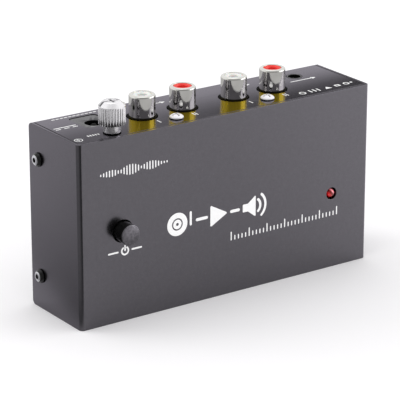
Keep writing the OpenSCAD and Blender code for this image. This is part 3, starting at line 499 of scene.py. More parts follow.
def make_piece(name, shells, look, node=None, body="case", painted_shade_share=None):
    """One object at the origin from closed shells, with smooth shading that keeps flats flat.

    It stands for a CAD node, if one is given, and takes the finish that has the look's name. The
    optional share function of the points gives the share, 0 to 1, of painted shade at each, as in
    grooves, recesses and under rims.
    """
    points, faces = joined(shells)
    mesh = bpy.data.meshes.new(name)
    mesh.from_pydata(points.tolist(), [], faces)
    work = bmesh.new()
    work.from_mesh(mesh)
    bmesh.ops.remove_doubles(work, verts=work.verts, dist=WELD)
    bmesh.ops.dissolve_degenerate(work, dist=WELD, edges=work.edges)
    bmesh.ops.recalc_face_normals(work, faces=work.faces)
    work.to_mesh(mesh)
    work.free()
    if painted_shade_share:
        places = np.empty(3 * len(mesh.vertices))
        mesh.vertices.foreach_get("co", places)
        share = np.clip(painted_shade_share(*places.reshape(-1, 3).T), 0, 1)
        mesh.attributes.new("groove", "FLOAT", "POINT").data.foreach_set("value", share)
    mesh.shade_smooth()
    mesh.set_sharp_from_angle(angle=SMOOTH_ANGLE)
    mesh.materials.append(finish(look))
    piece = bpy.data.objects.new(name, mesh)
    bpy.context.scene.collection.objects.link(piece)
    weighted = piece.modifiers.new("Flat faces lead", "WEIGHTED_NORMAL")
    weighted.keep_sharp = True
    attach(piece, body)
    if node:
        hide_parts(node)
    return piece


# ---------------------------------------------------------------------------
# Finishes


def fill(tree, node, values):
    """Sets each named input of a node to a value, or links it to a socket."""
    for key, value in values.items():
        if isinstance(value, bpy.types.NodeSocket):
            tree.links.new(value, node.inputs[key])
        else:
            node.inputs[key].default_value = value


def add_node(tree, kind, values=None, **settings):
    """New node with its settings and its inputs."""
    node = tree.nodes.new(kind)
    for key, value in settings.items():
        setattr(node, key, value)
    fill(tree, node, values or {})
    return node


def maths(tree, operation, first, second=0.0, third=0.0, clamp=False):
    """Output of one Math node."""
    node = add_node(tree, "ShaderNodeMath", {0: first, 1: second, 2: third}, operation=operation)
    node.use_clamp = clamp
    return node.outputs[0]


def ramp(tree, value, start, end, low, high, kind="SMOOTHSTEP"):
    """Smooth or linear step from low to high while the value goes from start to end."""
    values = {"Value": value, "From Min": start, "From Max": end, "To Min": low, "To Max": high}
    return add_node(tree, "ShaderNodeMapRange", values, interpolation_type=kind).outputs["Result"]


def spread(tree, mask, low, high):
    """Mask from a noise's usual range to a value between low and high."""
    return ramp(tree, mask, 0.3, 0.7, low, high, "LINEAR")


def mix(tree, share, first, second, kind="MIX"):
    """Colour on the way from the first to the second, or their product."""
    values = {"Factor": share, 6: first, 7: second}
    return add_node(tree, "ShaderNodeMix", values, data_type="RGBA", blend_type=kind).outputs[2]


def shade(tree, base, low, high, mask):
    """Base colour that runs from low to high times itself with the mask."""
    return mix(tree, mask, *([min(1.0, c * share) for c in base] + [1.0] for share in (low, high)))


def bump(tree, height, distance):
    """Normal from a height, in metres."""
    node = add_node(tree, "ShaderNodeBump", {"Height": height, "Distance": distance})
    return node.outputs["Normal"]


def object_place(tree):
    """Place on the object, in metres."""
    return add_node(tree, "ShaderNodeTexCoord").outputs["Object"]


def object_axes(tree):
    """The place's X, Y and Z."""
    return add_node(tree, "ShaderNodeSeparateXYZ", {"Vector": object_place(tree)}).outputs


def noise(tree, place, scale, **values):
    """Noise at a place."""
    values = {"Vector": place, "Scale": scale, **values}
    return add_node(tree, "ShaderNodeTexNoise", values).outputs["Fac"]


def per_metre(tree, size):
    """Scale of a pattern whose size is in millimetres."""
    return maths(tree, "DIVIDE", 1 / MM, size)


def coat_grain(tree, given):
    """Coat: fine and coarse grain for the bump, broad soft patches, and bright specks."""
    place = object_place(tree)
    scale = per_metre(tree, given["Grain size"])
    coarse_scale = maths(tree, "MULTIPLY", scale, 0.42)
    fine = noise(tree, place, scale, Detail=2.0, Roughness=0.55)
    coarse = noise(tree, place, coarse_scale, Detail=1.0)
    return {
        "Height": maths(tree, "MULTIPLY_ADD", coarse, 0.4, maths(tree, "MULTIPLY", fine, 0.6)),
        "Patch": noise(tree, place, 60.0, Detail=2.0),
        "Speck": ramp(tree, fine, 0.66, 0.76, 0.0, 1.0, "LINEAR"),
    }


def metal_lines(tree, given):
    """Metal: fine lathe lines across the Z axis, and smudges."""
    place = object_place(tree)
    squash = maths(tree, "DIVIDE", 1.0, given["Stretch"])
    stretch = add_node(tree, "ShaderNodeCombineXYZ", {"X": squash, "Y": squash, "Z": 1.0})
    along = add_node(
        tree, "ShaderNodeVectorMath", {0: place, 1: stretch.outputs["Vector"]}, operation="MULTIPLY"
    )
    scale = per_metre(tree, given["Line size"])
    return {
        "Lines": noise(tree, along.outputs["Vector"], scale, Detail=1.0),
        "Smudge": noise(tree, place, 380.0, Detail=3.0),
    }


def moulding(tree, given):
    """Moulded plastic: a fine spark-eroded grain and slow flow marks."""
    place = object_place(tree)
    return {
        "Height": noise(tree, place, per_metre(tree, given["Grain size"]), Detail=2.0),
        "Flow": noise(tree, place, 140.0, Distortion=1.5),
    }


GROUPS = {
    "Coat grain": (coat_grain, {"Grain size": 0.3}),
    "Metal lines": (metal_lines, {"Line size": 0.05, "Stretch": 40.0}),
    "Moulding": (moulding, {"Grain size": 0.15}),
}


def build_group(name):
    """Node group with number inputs, and an output for each mask that its maker returns."""
    maker, inputs = GROUPS[name]
    tree = bpy.data.node_groups.new(name, "ShaderNodeTree")
    for label, default in inputs.items():
        socket = tree.interface.new_socket(label, in_out="INPUT", socket_type="NodeSocketFloat")
        socket.default_value = default
    masks = maker(tree, tree.nodes.new("NodeGroupInput").outputs)
    for label in masks:
        tree.interface.new_socket(label, in_out="OUTPUT", socket_type="NodeSocketFloat")
    fill(tree, tree.nodes.new("NodeGroupOutput"), masks)
    return tree


def effect(tree, name, **values):
    """Masks of a shared node group, which is built when it is first asked for."""
    shared = bpy.data.node_groups.get(name) or build_group(name)
    values = {key.replace("_", " ").capitalize(): value for key, value in values.items()}
    return add_node(tree, "ShaderNodeGroup", values, node_tree=shared).outputs


def metal(tree, base, rough, line=0.05, depth=0.0006 * MM, metallic=1.0, painted_shade=0.0):
    """Plated or bare metal: lathe lines in the bump, smudges in the gloss, painted shade in
    grooves.
    """
    masks = effect(tree, "Metal lines", line_size=line, stretch=40.0)
    tone = shade(tree, base, 0.93, 1.03, masks["Smudge"])
    if painted_shade:
        # Painted shade, by the share stored on the mesh
        groove = add_node(tree, "ShaderNodeAttribute", attribute_name="groove").outputs["Fac"]
        tone = mix(tree, 1.0, tone, maths(tree, "MULTIPLY_ADD", groove, -painted_shade, 1.0), "MULTIPLY")
    return {
        "Base Color": tone,
        "Metallic": metallic,
        "Roughness": spread(tree, masks["Smudge"], 0.8 * rough, 1.25 * rough),
        "Normal": bump(tree, masks["Lines"], depth),
    }


def plating(tree, base, mirrored):
    """Mirror plating with faint lathe lines and smudges; satin surfaces show a painted reflection
    of another colour.

    Satin is a glossy ray that isn't a sharp mirror's, at its first glossy bounce.
    """
    masks = effect(tree, "Metal lines", line_size=0.16, stretch=2.0)
    rays = add_node(tree, "ShaderNodeLightPath").outputs
    satin = maths(tree, "SUBTRACT", rays["Is Glossy Ray"], rays["Is Singular Ray"], clamp=True)
    satin = maths(tree, "MULTIPLY", satin, maths(tree, "LESS_THAN", rays["Glossy Depth"], 1.5))
    tone = shade(tree, base, 0.8, 1.08, masks["Smudge"])
    return {
        # Painted reflection: satin rays see the plating in the mirrored colour, and less metallic
        "Base Color": mix(tree, satin, tone, (*mirrored, 1.0)),
        "Metallic": maths(tree, "MULTIPLY_ADD", satin, -0.45, 1.0),
        "Roughness": 0.0,
        "Normal": bump(tree, masks["Lines"], 0.006 * MM),
    }


def sheen_coat(tree, base, grain, rough, depth):
    """Dark metallic coat: fine grain in the bump and shade, bright specks, patches in the gloss."""
    masks = effect(tree, "Coat grain", grain_size=grain / MM)
    tone = shade(tree, base, 0.84, 1.16, masks["Height"])
    bright = (*(min(1.0, 1.6 * c) for c in base), 1.0)
    return {
        "Base Color": mix(tree, maths(tree, "MULTIPLY", masks["Speck"], 0.25), tone, bright),
        "Specular Tint": (0.96, 0.93, 1.0, 1.0),
        "Metallic": 1.0,
        "Roughness": spread(tree, masks["Patch"], rough - 0.02, rough + 0.02),
        "Normal": bump(tree, masks["Height"], depth),
    }


def plastic(tree, base, rough, grain=0.15, depth=0.004 * MM, soft=0.0, gloss=0.5):
    """Moulded plastic: grain in the bump, flow marks in the shade and gloss."""
    masks = effect(tree, "Moulding", grain_size=grain)
    return {
        "Base Color": shade(tree, base, 0.9, 1.1, masks["Flow"]),
        "Roughness": spread(tree, masks["Flow"], 0.9 * rough, 1.1 * rough),
        "Normal": bump(tree, masks["Height"], depth),
        "Specular IOR Level": gloss,
        "Subsurface Weight": soft,
        "Subsurface Radius": (1.0, 0.4, 0.3),
        "Subsurface Scale": 0.6 * MM,
    }


def two_tone(tree, axis, border, under, over, grain=0.15, depth=0.003 * MM, fade=None):
    """Surface that has one look below a border along an axis and another above it.

    Each look has a base, how metallic it is, its roughness and its gloss. A border above zero
    holds on both sides of the object. Between two given heights the colour rises to its full
    strength, unevenly: painted shade that darkens the surface towards the bottom.
    """
    masks = effect(tree, "Moulding", grain_size=grain)
    axes = object_axes(tree)
    along = maths(tree, "ABSOLUTE", axes[axis]) if border > 0 else axes[axis]
    above = maths(tree, "GREATER_THAN", along, border)
    tones = [shade(tree, look["base"], 0.82, 1.18, masks["Height"]) for look in (under, over)]
    tone = mix(tree, above, *tones)
    if fade:
        # Painted shade: darker towards the bottom between the two heights, with blotches
        rise = ramp(tree, axes["Z"], *fade, 0.55, 1.1)
        blotch = spread(tree, masks["Height"], 0.8, 1.2)
        tone = mix(tree, 1.0, tone, maths(tree, "MULTIPLY", rise, blotch), "MULTIPLY")
    metallic, rough, gloss = (
        ramp(tree, above, 0.0, 1.0, under[key], over[key]) for key in ("metallic", "rough", "gloss")
    )
    return {
        "Base Color": tone,
        "Metallic": metallic,
        "Roughness": maths(tree, "MULTIPLY", spread(tree, masks["Flow"], 0.9, 1.1), rough),
        "Normal": bump(tree, masks["Height"], depth),
        "Specular IOR Level": gloss,
    }


def tinted_lens(tree, base):
    """Tinted epoxy: painted glow at one side, dark from the middle, painted shade low, a pale
    painted highlight.

    across and up run from -1 to 1 over the lens, and slant runs from its lower left to its
    upper right.
    """
    masks = effect(tree, "Moulding", grain_size=0.6)
    axes = object_axes(tree)
    centre = centre_of("lamp_lens", 0, 2)
    across, up = (
        maths(tree, "MULTIPLY_ADD", axes[axis], 1 / LENS_R, -middle / LENS_R)
        for axis, middle in zip("XZ", centre)
    )
    slant = maths(tree, "MULTIPLY_ADD", across, 0.75, maths(tree, "MULTIPLY", up, 0.65))
    # Painted light and shade: a glow at the lower left, darker towards the bottom
    glow, floor = ramp(tree, slant, -0.75, 0.0, 1.0, 0.2), ramp(tree, up, -0.9, 0.1, 0.35, 1.0)
    # Painted highlight: a pale band towards the upper right
    start, end = ramp(tree, slant, 0.15, 0.5, 0.0, 1.0), ramp(tree, slant, 0.65, 1.0, 1.0, 0.0)
    tone = shade(tree, base, 0.8, 1.1, masks["Flow"])
    tone = mix(tree, 1.0, tone, maths(tree, "MULTIPLY", glow, floor), "MULTIPLY")
    painted_highlight = maths(tree, "MULTIPLY", start, end)
    return {
        "Base Color": mix(tree, painted_highlight, tone, (0.95, 0.26, 0.3, 1.0)),
        "Roughness": spread(tree, masks["Height"], 0.03, 0.06),
        "Subsurface Weight": 0.05,
        "Subsurface Radius": (1.0, 0.2, 0.2),
        "Subsurface Scale": 0.3 * MM,
        "Coat Weight": 0.4,
        "Coat Roughness": 0.03,
    }


def screen_ink(tree, base):
    """Screen-printed ink, a little uneven."""
    masks = effect(tree, "Moulding", grain_size=0.4)
    return {
        "Base Color": shade(tree, base, 0.96, 1.02, masks["Height"]),
        "Roughness": spread(tree, masks["Flow"], 0.45, 0.6),
        "Normal": bump(tree, masks["Height"], 0.002 * MM),
    }


def laminate(tree, base):
    """Solder resist over faint copper tracks that run along the board."""
    values = {"Vector": object_place(tree), "Scale": 160.0, "Mortar Size": 0.06, "Bias": 0.2}
    tracks = add_node(tree, "ShaderNodeTexBrick", values).outputs["Fac"]
    return {
        "Base Color": shade(tree, base, 1.0, 1.5, tracks),
        "Roughness": spread(tree, tracks, 0.3, 0.4),
        "Normal": bump(tree, tracks, 0.02 * MM),
        "Coat Weight": 0.3,
    }


def grey(value):
    """Colour without a hue."""
    return (value, value, value)


def looks():
    """Maker and values of every finish, by name."""
    scene = bpy.context.scene
    case, sockets, controls = scene.preamp_case, scene.preamp_sockets, scene.preamp_controls
    dull_black = dict(base=grey(0.002), metallic=0.0, rough=0.6, gloss=0.1)
    jack_face = dict(base=case.panel_coat, metallic=1.0, rough=0.22, gloss=0.5)
    screw_side = dict(base=grey(0.003), metallic=0.0, rough=0.1, gloss=0.45)
    # Painted highlight: past the border the side screws' black domes turn to bright metal
    painted_highlight_top = dict(base=(0.6, 0.6, 0.63), metallic=1.0, rough=0.12, gloss=0.5)
    button_front = dict(base=controls.button, metallic=0.9, rough=0.3, gloss=0.5)
    # Painted shade: the button's side is a black copy of its plastic
    shaded_button_side = dict(base=grey(0.004), metallic=0.0, rough=0.12, gloss=0.4)
    insert = dict(rough=0.25, grain=0.3, depth=0.001 * MM, soft=0.2)
    return {
        "cover_coat": (sheen_coat, dict(
            base=case.coat, grain=case.grain, rough=0.23, depth=0.0014 * MM,
        )),
        "panel_coat": (sheen_coat, dict(
            base=case.panel_coat, grain=0.8 * case.grain, rough=0.16, depth=0.0004 * MM,
        )),
        "black_steel": (two_tone, dict(
            axis="X", border=COVER_HIGH[0] + 1.3 * MM, under=screw_side, over=painted_highlight_top,
            grain=0.3, depth=0.001 * MM,
        )),
        "foot_rubber": (plastic, dict(base=grey(0.018), rough=0.75, grain=0.3, depth=0.02 * MM)),
        "nickel": (plating, dict(base=sockets.nickel, mirrored=sockets.painted_reflection_gold)),
        "bright_screw": (metal, dict(
            base=(0.95, 0.94, 0.98), rough=0.5, line=0.3, metallic=0.3, painted_shade=0.97,
        )),
        "knob_nickel": (metal, dict(
            base=(0.95, 0.94, 0.96), rough=0.25, line=0.2, depth=0.0002 * MM, metallic=0.8,
            painted_shade=0.9,
        )),
        # Painted shade: the metal centre pin is dull black, as though in the bore's shade
        "jack_pin": (plastic, dict(base=grey(0.01), rough=0.6, gloss=0.1)),
        "red_insert": (plastic, dict(base=sockets.red, **insert)),
        "white_insert": (plastic, dict(base=sockets.white, **insert)),
        "black_moulding": (plastic, dict(
            base=(0.0015, 0.0015, 0.002), rough=0.6, depth=0.003 * MM, gloss=0.05,
        )),
        "power_jack": (two_tone, dict(
            axis="Z", border=DC_HIGH[2] - 0.03 * MM, under=dull_black, over=jack_face,
        )),
        "small_jack": (two_tone, dict(
            axis="Z", border=PANEL_Z - 0.03 * MM, under=dull_black, over=jack_face,
        )),
        # Painted shade: the button's front darkens towards its bottom
        "button_plastic": (two_tone, dict(
            axis="Y", border=BUTTON_LOW[1] + 0.45 * MM, under=button_front, over=shaded_button_side,
            grain=0.7, depth=0.006 * MM, fade=(BUTTON_LOW[2], BUTTON_HIGH[2]),
        )),
        "lamp_red": (tinted_lens, dict(base=controls.lamp)),
        "print_ink": (screen_ink, dict(base=scene.preamp_prints.ink)),
        "board_laminate": (laminate, dict(base=(0.015, 0.10, 0.045))),
        "contact_brass": (metal, dict(base=(0.78, 0.60, 0.30), rough=0.25)),
        "plated_steel": (metal, dict(base=(0.66, 0.65, 0.62), rough=0.3)),
        "tinned_lead": (metal, dict(base=(0.72, 0.72, 0.71), rough=0.35)),
        "wire_green": (plastic, dict(base=(0.05, 0.28, 0.08), rough=0.45, grain=0.3)),
        "stem_plastic": (plastic, dict(base=(0.75, 0.75, 0.72), rough=0.4)),
        "switch_plastic": (plastic, dict(base=(0.04, 0.06, 0.25), rough=0.4)),
        "capacitor_sleeve": (plastic, dict(
            base=(0.02, 0.03, 0.09), rough=0.3, grain=0.5, depth=0.002 * MM,
        )),
        "film_red": (plastic, dict(base=(0.42, 0.03, 0.02), rough=0.3, grain=0.5, depth=0.01 * MM)),
        "chip_epoxy": (plastic, dict(base=grey(0.02), rough=0.6, grain=0.12, depth=0.006 * MM)),
        "resistor_lacquer": (plastic, dict(base=(0.10, 0.32, 0.48), rough=0.35, grain=0.3)),
    }


def new_material(name):
    """Material and its tree."""
    material = bpy.data.materials.new(name)
    material.use_nodes = True
    return material, material.node_tree


def finish(name):
    """The named material, built round its Principled shader when it is first asked for."""
    own = name + "_finish"
    if own in bpy.data.materials:
        return bpy.data.materials[own]
    material, tree = new_material(own)
    maker, values = looks()[name]
    fill(tree, tree.nodes["Principled BSDF"], maker(tree, **values))
    return material


INNER_FINISHES = {
    "board_laminate": ("circuit_board",),
    "plated_steel": ("standoffs", "board_screws", "ground_tag", "ground_nut"),
    "contact_brass": (
        "contact_input_left", "contact_input_right", "contact_output_left",
        "contact_output_right", "power_jack_spring", "small_jack_contacts",
    ),
    "wire_green": ("ground_wire",),
    "stem_plastic": ("switch_stem",),
    "switch_plastic": ("switch_body",),
    "tinned_lead": ("switch_pins", "lamp_leads"),
    "black_moulding": ("lamp_spacer",),
    "capacitor_sleeve": ("supply_capacitors", "coupling_capacitors"),
    "film_red": ("film_capacitors",),
    "chip_epoxy": ("input_chip", "output_chip", "diodes", "voltage_regulator"),
    "resistor_lacquer": ("resistors",),
}


# ---------------------------------------------------------------------------
# Stage

# Heights of the glowing card over the panel, and those between which its glow fades
CARD_FOOT, CARD_TOP = 0.5 * MM, 18.5 * MM
CARD_FADE = (4.0 * MM, 12.7 * MM)


def link(thing):
    """Puts an object in the scene."""
    bpy.context.scene.collection.objects.link(thing)
    return thing


def aim(thing, place, target):
    """Stands an object at a place and turns its -Z to the target."""
    thing.location = place
    way = Vector(target) - Vector(place)
    thing.rotation_euler = way.to_track_quat("-Z", "Y").to_euler()


def area_lamp(name, place, target, size, power, glossy=True):
    """Rectangular lamp that faces the target and isn't seen itself."""
    data = bpy.data.lights.new(name, "AREA")
    data.shape = "RECTANGLE"
    data.size, data.size_y = size
    data.energy = power
    lamp = link(bpy.data.objects.new(name, data))
    aim(lamp, place, target)
    lamp.visible_camera = False
    lamp.visible_glossy = glossy


def floor_finish(settings):
    """White floor that takes the object's shadow, and whose satin and sharp images are darker.

    Satin surfaces show it by its place: darkest from the left corner to the camera, paler
    further back on the left, and nearly white in front. left and ahead are the ways from the
    case's left side and from its labelled face.
    """
    material, tree = new_material("floor_white")
    axes = object_axes(tree)
    left = maths(tree, "SUBTRACT", COVER_LOW[0], axes["X"])
    ahead = maths(tree, "SUBTRACT", FACE_Y, axes["Y"])

    # Beside the case: the corner's share grows towards the left, and fades out to the back
    toward_camera = maths(tree, "SUBTRACT", ahead, left)
    corner = settings.floor_corner
    corner = ramp(tree, toward_camera, -0.05, 0.07, 1.7 * corner, 0.6 * corner)
    backward = maths(tree, "SUBTRACT", maths(tree, "MULTIPLY", ahead, -1.0), left)
    side = ramp(tree, backward, -0.015, 0.08, corner, settings.floor_left)
    side = maths(tree, "MULTIPLY", side, ramp(tree, left, 0.0, 0.06, 0.78, 1.0))

    # In front of it: full on the right and close to the foot
    rightward = maths(tree, "MULTIPLY_ADD", ahead, -0.69, axes["X"])
    front = ramp(tree, rightward, 0.0, 0.075, settings.floor_front, 1.0)
    front = maths(tree, "MULTIPLY", front, ramp(tree, ahead, 0.0, 0.06, 1.04, 1.0))
    front = maths(tree, "MINIMUM", front, 1.0)
    past_corner = maths(tree, "MULTIPLY_ADD", ahead, 0.25, left)
    seen = ramp(tree, past_corner, -0.003, 0.0075, front, side)

    rays = add_node(tree, "ShaderNodeLightPath").outputs
    mirror = rays["Is Singular Ray"]
    satin = maths(tree, "SUBTRACT", rays["Is Glossy Ray"], mirror, clamp=True)
    in_satin = ramp(tree, satin, 0.0, 1.0, 1.0, seen)
    in_mirror = ramp(tree, mirror, 0.0, 1.0, 1.0, settings.floor_mirror)
    cloud = noise(tree, object_place(tree), 3.0)
    white = [share * settings.floor_albedo for share in (0.995, 0.985, 1.0)]
    white = shade(tree, white, 0.99, 1.0, cloud)
    fill(tree, tree.nodes["Principled BSDF"], {
        "Base Color": mix(
            tree, 1.0, white, maths(tree, "MULTIPLY", in_satin, in_mirror), "MULTIPLY"
        ),
        "Roughness": 0.9,
        "Specular IOR Level": 0.0,
    })
    return material


def card_finish(settings):
    """Card that glows for satin surfaces only: darker away from its foot, most on the right."""
    material, tree = new_material("card_glow")
    axes = object_axes(tree)
    dark = ramp(tree, axes["X"], -0.05, 0.075, settings.card_left, settings.card_right)
    low, high = PANEL_Z + CARD_FADE[0], PANEL_Z + CARD_FADE[1]
    glow = ramp(tree, axes["Z"], low, high, settings.card_foot, dark)
    light = add_node(tree, "ShaderNodeEmission", {"Strength": glow})
    clear = add_node(tree, "ShaderNodeBsdfTransparent")
    rays = add_node(tree, "ShaderNodeLightPath")
    either = add_node(tree, "ShaderNodeMixShader", {
        0: rays.outputs["Is Singular Ray"], 1: light.outputs["Emission"], 2: clear.outputs["BSDF"],
    })
    fill(tree, tree.nodes["Material Output"], {"Surface": either.outputs["Shader"]})
    return material


def stage_sheet(name, corners, material):
    """Flat sheet of the stage."""
    mesh = bpy.data.meshes.new(name)
    mesh.from_pydata(corners, [], [(0, 1, 2, 3)])
    mesh.materials.append(material)
    sheet = link(bpy.data.objects.new(name, mesh))
    sheet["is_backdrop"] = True
    return sheet


def toward(tree, direction, wide, narrow):
    """Mask of the world that rises from 0 to 1 as a ray comes within two angles of a direction."""
    place = add_node(tree, "ShaderNodeTexCoord").outputs["Generated"]
    values = {0: place, 1: tuple(Vector(direction).normalized())}
    facing = add_node(tree, "ShaderNodeVectorMath", values, operation="DOT_PRODUCT")
    return ramp(tree, facing.outputs["Value"], math.cos(wide), math.cos(narrow), 0.0, 1.0)


def studio_world(settings):
    """White where it is looked at; a soft studio with a dark room in front for what it lights."""
    world = bpy.data.worlds.new("Studio")
    world.use_nodes = True
    world.cycles.sampling_method = "NONE"
    tree = world.node_tree
    rays = add_node(tree, "ShaderNodeLightPath").outputs
    seen = maths(tree, "MAXIMUM", rays["Is Camera Ray"], rays["Is Transmission Ray"])
    room = toward(tree, settings.front_toward, math.radians(80), math.radians(35))
    change = settings.front - settings.mirrored
    shown = maths(tree, "MULTIPLY_ADD", room, change, settings.mirrored)
    lit = ramp(tree, rays["Is Glossy Ray"], 0.0, 1.0, settings.ambient, shown, "LINEAR")
    fill(tree, tree.nodes["Background"], {
        "Color": (1.0, 1.0, 1.0, 1.0),
        "Strength": ramp(tree, seen, 0.0, 1.0, lit, 1.0, "LINEAR"),
    })
    bpy.context.scene.world = world


class PREAMP_OT_stage(bpy.types.Operator):
    """Camera, floor, card, world and lamps"""

    bl_idname = "preamp.stage"
    bl_label = "Stage"

    def execute(self, context):
        settings = context.scene.preamp_stage
        context.scene.view_settings.view_transform = "Standard"
        data = bpy.data.cameras.new("Camera")
        data.lens, data.sensor_width = settings.lens, 36.0
        data.clip_start, data.clip_end = 0.01, 20.0
        camera = link(bpy.data.objects.new("Camera", data))
        aim(camera, settings.camera_at, settings.look_at)
        context.scene.camera = camera

        half = settings.floor_size
        corners = [(-half, -half, 0), (half, -half, 0), (half, half, 0), (-half, half, 0)]
        stage_sheet("floor", corners, floor_finish(settings))
        left, right, back = -0.12, 0.2, 0.0215
        low, high = PANEL_Z + CARD_FOOT, PANEL_Z + CARD_TOP
        corners = [(left, back, low), (left, back, high), (right, back, high), (right, back, low)]
        card = stage_sheet("glow_card", corners, card_finish(settings))
        card.visible_camera = card.visible_diffuse = False
        card.visible_transmission = card.visible_shadow = False

        studio_world(settings)
        middle, above = (0.0, 0.0, 0.03), (0.0, 0.0, 0.05)
        for name, place, target, size, power, glossy in (
            ("Right lamp", (0.55, -0.35, 0.14), middle, (0.6, 0.5), settings.right_power, True),
            ("Left lamp", (-0.5, 0.45, 0.3), middle, (0.4, 0.3), settings.left_power, False),
            ("Top lamp", (0.0, 0.1, 0.8), above, (0.5, 0.5), settings.top_power, True),
        ):
            area_lamp(name, place, target, size, power, glossy)
        return {"FINISHED"}


# ---------------------------------------------------------------------------
# Pieces


def side_screw_places(along):
    """The two side screws' axes at a distance along the side."""
    low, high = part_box("side_screws")
    return [(along, z) for z in (low[2] + SIDE_HEAD_R, high[2] - SIDE_HEAD_R)]


def jack_axes():
    """x and y of the four phono sockets' axes."""
    for node in SHELL_NODES:
        low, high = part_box(node)
        radius = (high[0] - low[0]) / 2
        yield low[0] + radius, low[1] + radius


def socket_screw_axes():
    """x and y of the two socket screws' axes."""
    low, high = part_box("socket_screws")
    middle = (low[1] + high[1]) / 2
    return (low[0] + SOCKET_HEAD_R, middle), (high[0] - SOCKET_HEAD_R, middle)


def small_jack_axis():
    """x and y of the small jack's axis."""
    return centre_of("small_jack_body", 0)[0], SMALL_HIGH[1] - SMALL_AXIS_DEPTH


class PREAMP_OT_cover(bpy.types.Operator):
    """Labelled face and both sides, folded from one sheet"""

    bl_idname = "preamp.cover"
    bl_label = "Cover"

    def execute(self, context):
        case = context.scene.preamp_case
        leg = COVER_HIGH[1] - COVER_LOW[1] - case.fold
        legs = (leg, COVER_HIGH[0] - COVER_LOW[0] - 2 * case.fold, leg)
        section, reach, stations = folded(
            (COVER_LOW[0], COVER_HIGH[1]), -QUARTER, legs, case.fold
        )

        def place(along, up, deep):
            x, y = section(along, deep)
            return np.stack([x, y, up], -1)

        button_x, button_z = centre_of("power_button", 0, 2)
        lamp_x, lamp_z = centre_of("lamp_lens", 0, 2)
        button_r = (BUTTON_HIGH[0] - BUTTON_LOW[0]) / 2
        holes = [
            circle((reach / 2 + button_x, button_z), button_r + BUTTON_GAP, 96),
            circle((reach / 2 + lamp_x, lamp_z), LENS_HOLE_R, 64),
        ]
        for along in (case.screw_depth, reach - case.screw_depth):
            holes += [circle(axis, SIDE_HOLE_R, 32) for axis in side_screw_places(along)]
        outline = rectangle((0.0, 0.0), (reach, PANEL_Z), case.fold)
        shell = plate([outline, *holes], case.sheet, case.edge, place, stations)
        make_piece("cover_sheet", [shell], "cover_coat", "cover")
        return {"FINISHED"}


class PREAMP_OT_chassis(bpy.types.Operator):
    """Connector panel, base and standing face, folded from one sheet, with the screw tabs"""

    bl_idname = "preamp.chassis"
    bl_label = "Chassis"

    def execute(self, context):
        case = context.scene.preamp_case
        leg = CHASSIS_HIGH[1] - CHASSIS_LOW[1] - case.fold
        legs = (leg, PANEL_Z - 2 * case.fold, leg)
        section, reach, stations = folded((CHASSIS_LOW[1], 0.0), 0.0, legs, case.fold)

        def place(along, across, deep):
            y, z = section(along, deep)
            return np.stack([across, y, z], -1)

        def on_panel(x, y):
            return reach - (y - CHASSIS_LOW[1]), x

        gap = 0.15 * MM
        collar_hole = context.scene.preamp_sockets.collar + gap
        holes = [circle(on_panel(x, y), collar_hole, 96) for x, y in jack_axes()]
        holes += [circle(on_panel(x, y), SOCKET_HOLE_R, 32) for x, y in socket_screw_axes()]
        holes.append(circle(on_panel(*centre_of("ground_screw", 0, 1)), GROUND_HOLE_R, 48))
        holes.append(circle(on_panel(*small_jack_axis()), SMALL_HOLE_R, 64))
        near = on_panel(DC_LOW[0] - gap, DC_HIGH[1] + gap)
        far = on_panel(DC_HIGH[0] + gap, DC_HIGH[1] - DC_FACE_DEPTH - gap)
        holes.append(rectangle(near, far, DC_CORNER_R + gap))
        outline = rectangle((0.0, CHASSIS_LOW[0]), (reach, CHASSIS_HIGH[0]))
        sheet = plate([outline, *holes], case.sheet, case.edge, place, stations)
        make_piece("chassis_sheet", [sheet, *self.tabs(case)], "panel_coat", "chassis")
        return {"FINISHED"}

    def tabs(self, case):
        """The four tabs behind the cover's sides, with their threaded holes."""
        screw_y = CHASSIS_HIGH[1] - case.screw_depth
        half, before_screw, overlap = case.tab_width / 2, 4.0 * MM, 0.1 * case.sheet
        front, back = screw_y - before_screw, CHASSIS_HIGH[1] - case.sheet + overlap
        for side in (-1, 1):
            def place(y, up, deep, side=side):
                return np.stack([side * (CHASSIS_HIGH[0] - deep), y, up], -1)

            for y, z in side_screw_places(screw_y):
                outline = rectangle((front, z - half), (back, z + half))
                thread = circle((y, z), SIDE_THREAD_R, 32)
                yield plate([outline, thread], case.sheet, case.edge, place)


def driven_head(outline, deep, head_r, head_h, rim, flat_r, shank_r, shank_l, sides=96):
    """Domed screw head with a recess, and its shank.

    outline gives the recess's radius at each angle. The dome is the cap of a sphere that passes
    through the rim at the head's radius and through the flat's edge at the head's height. From
    the middle of the recess the rows go out over its floor, up its wall, over the dome, down
    the rim and the shank.
    """
    angle = np.arange(sides) * TURN / sides
    recess = outline(angle)
    middle = (head_h**2 - rim**2 + flat_r**2 - head_r**2) / (2 * (head_h - rim))
    ball = math.hypot(head_r, rim - middle)
    ease, lip, edge, bevel = 0.05 * MM, 0.06 * MM, 0.2 * MM, 0.3 * MM
    floor = head_h - deep

    def dome(r):
        return np.minimum(head_h, middle + np.sqrt(ball**2 - r**2))

    rows = [
        (0, floor - 3 * ease), (recess * 0.96, floor), (recess, floor + 0.8 * ease),
        (recess, dome(recess) - ease), (recess + ease, dome(recess + ease)),
    ]
    for share in np.linspace(0, 1, 9)[1:]:
        row = (recess + ease) * (1 - share) + (head_r - lip) * share
        rows.append((row, dome(row)))
    rows += [
        (head_r, rim - ease), (head_r, edge), (head_r - bevel, 0), (shank_r, 0),
        (shank_r, bevel - shank_l), (shank_r * 0.7, -shank_l), (0, -shank_l),
    ]
    return polar_rows(rows, angle)


def hex_socket(flats):
    """Radius of a hexagon with rounded corners: half the flats over the cosine from a flat."""
    def radius(angle):
        turn = (angle + math.pi / 6) % (math.pi / 3) - math.pi / 6
        return np.minimum(flats / 2 / np.cos(turn), flats * 0.56)
    return radius


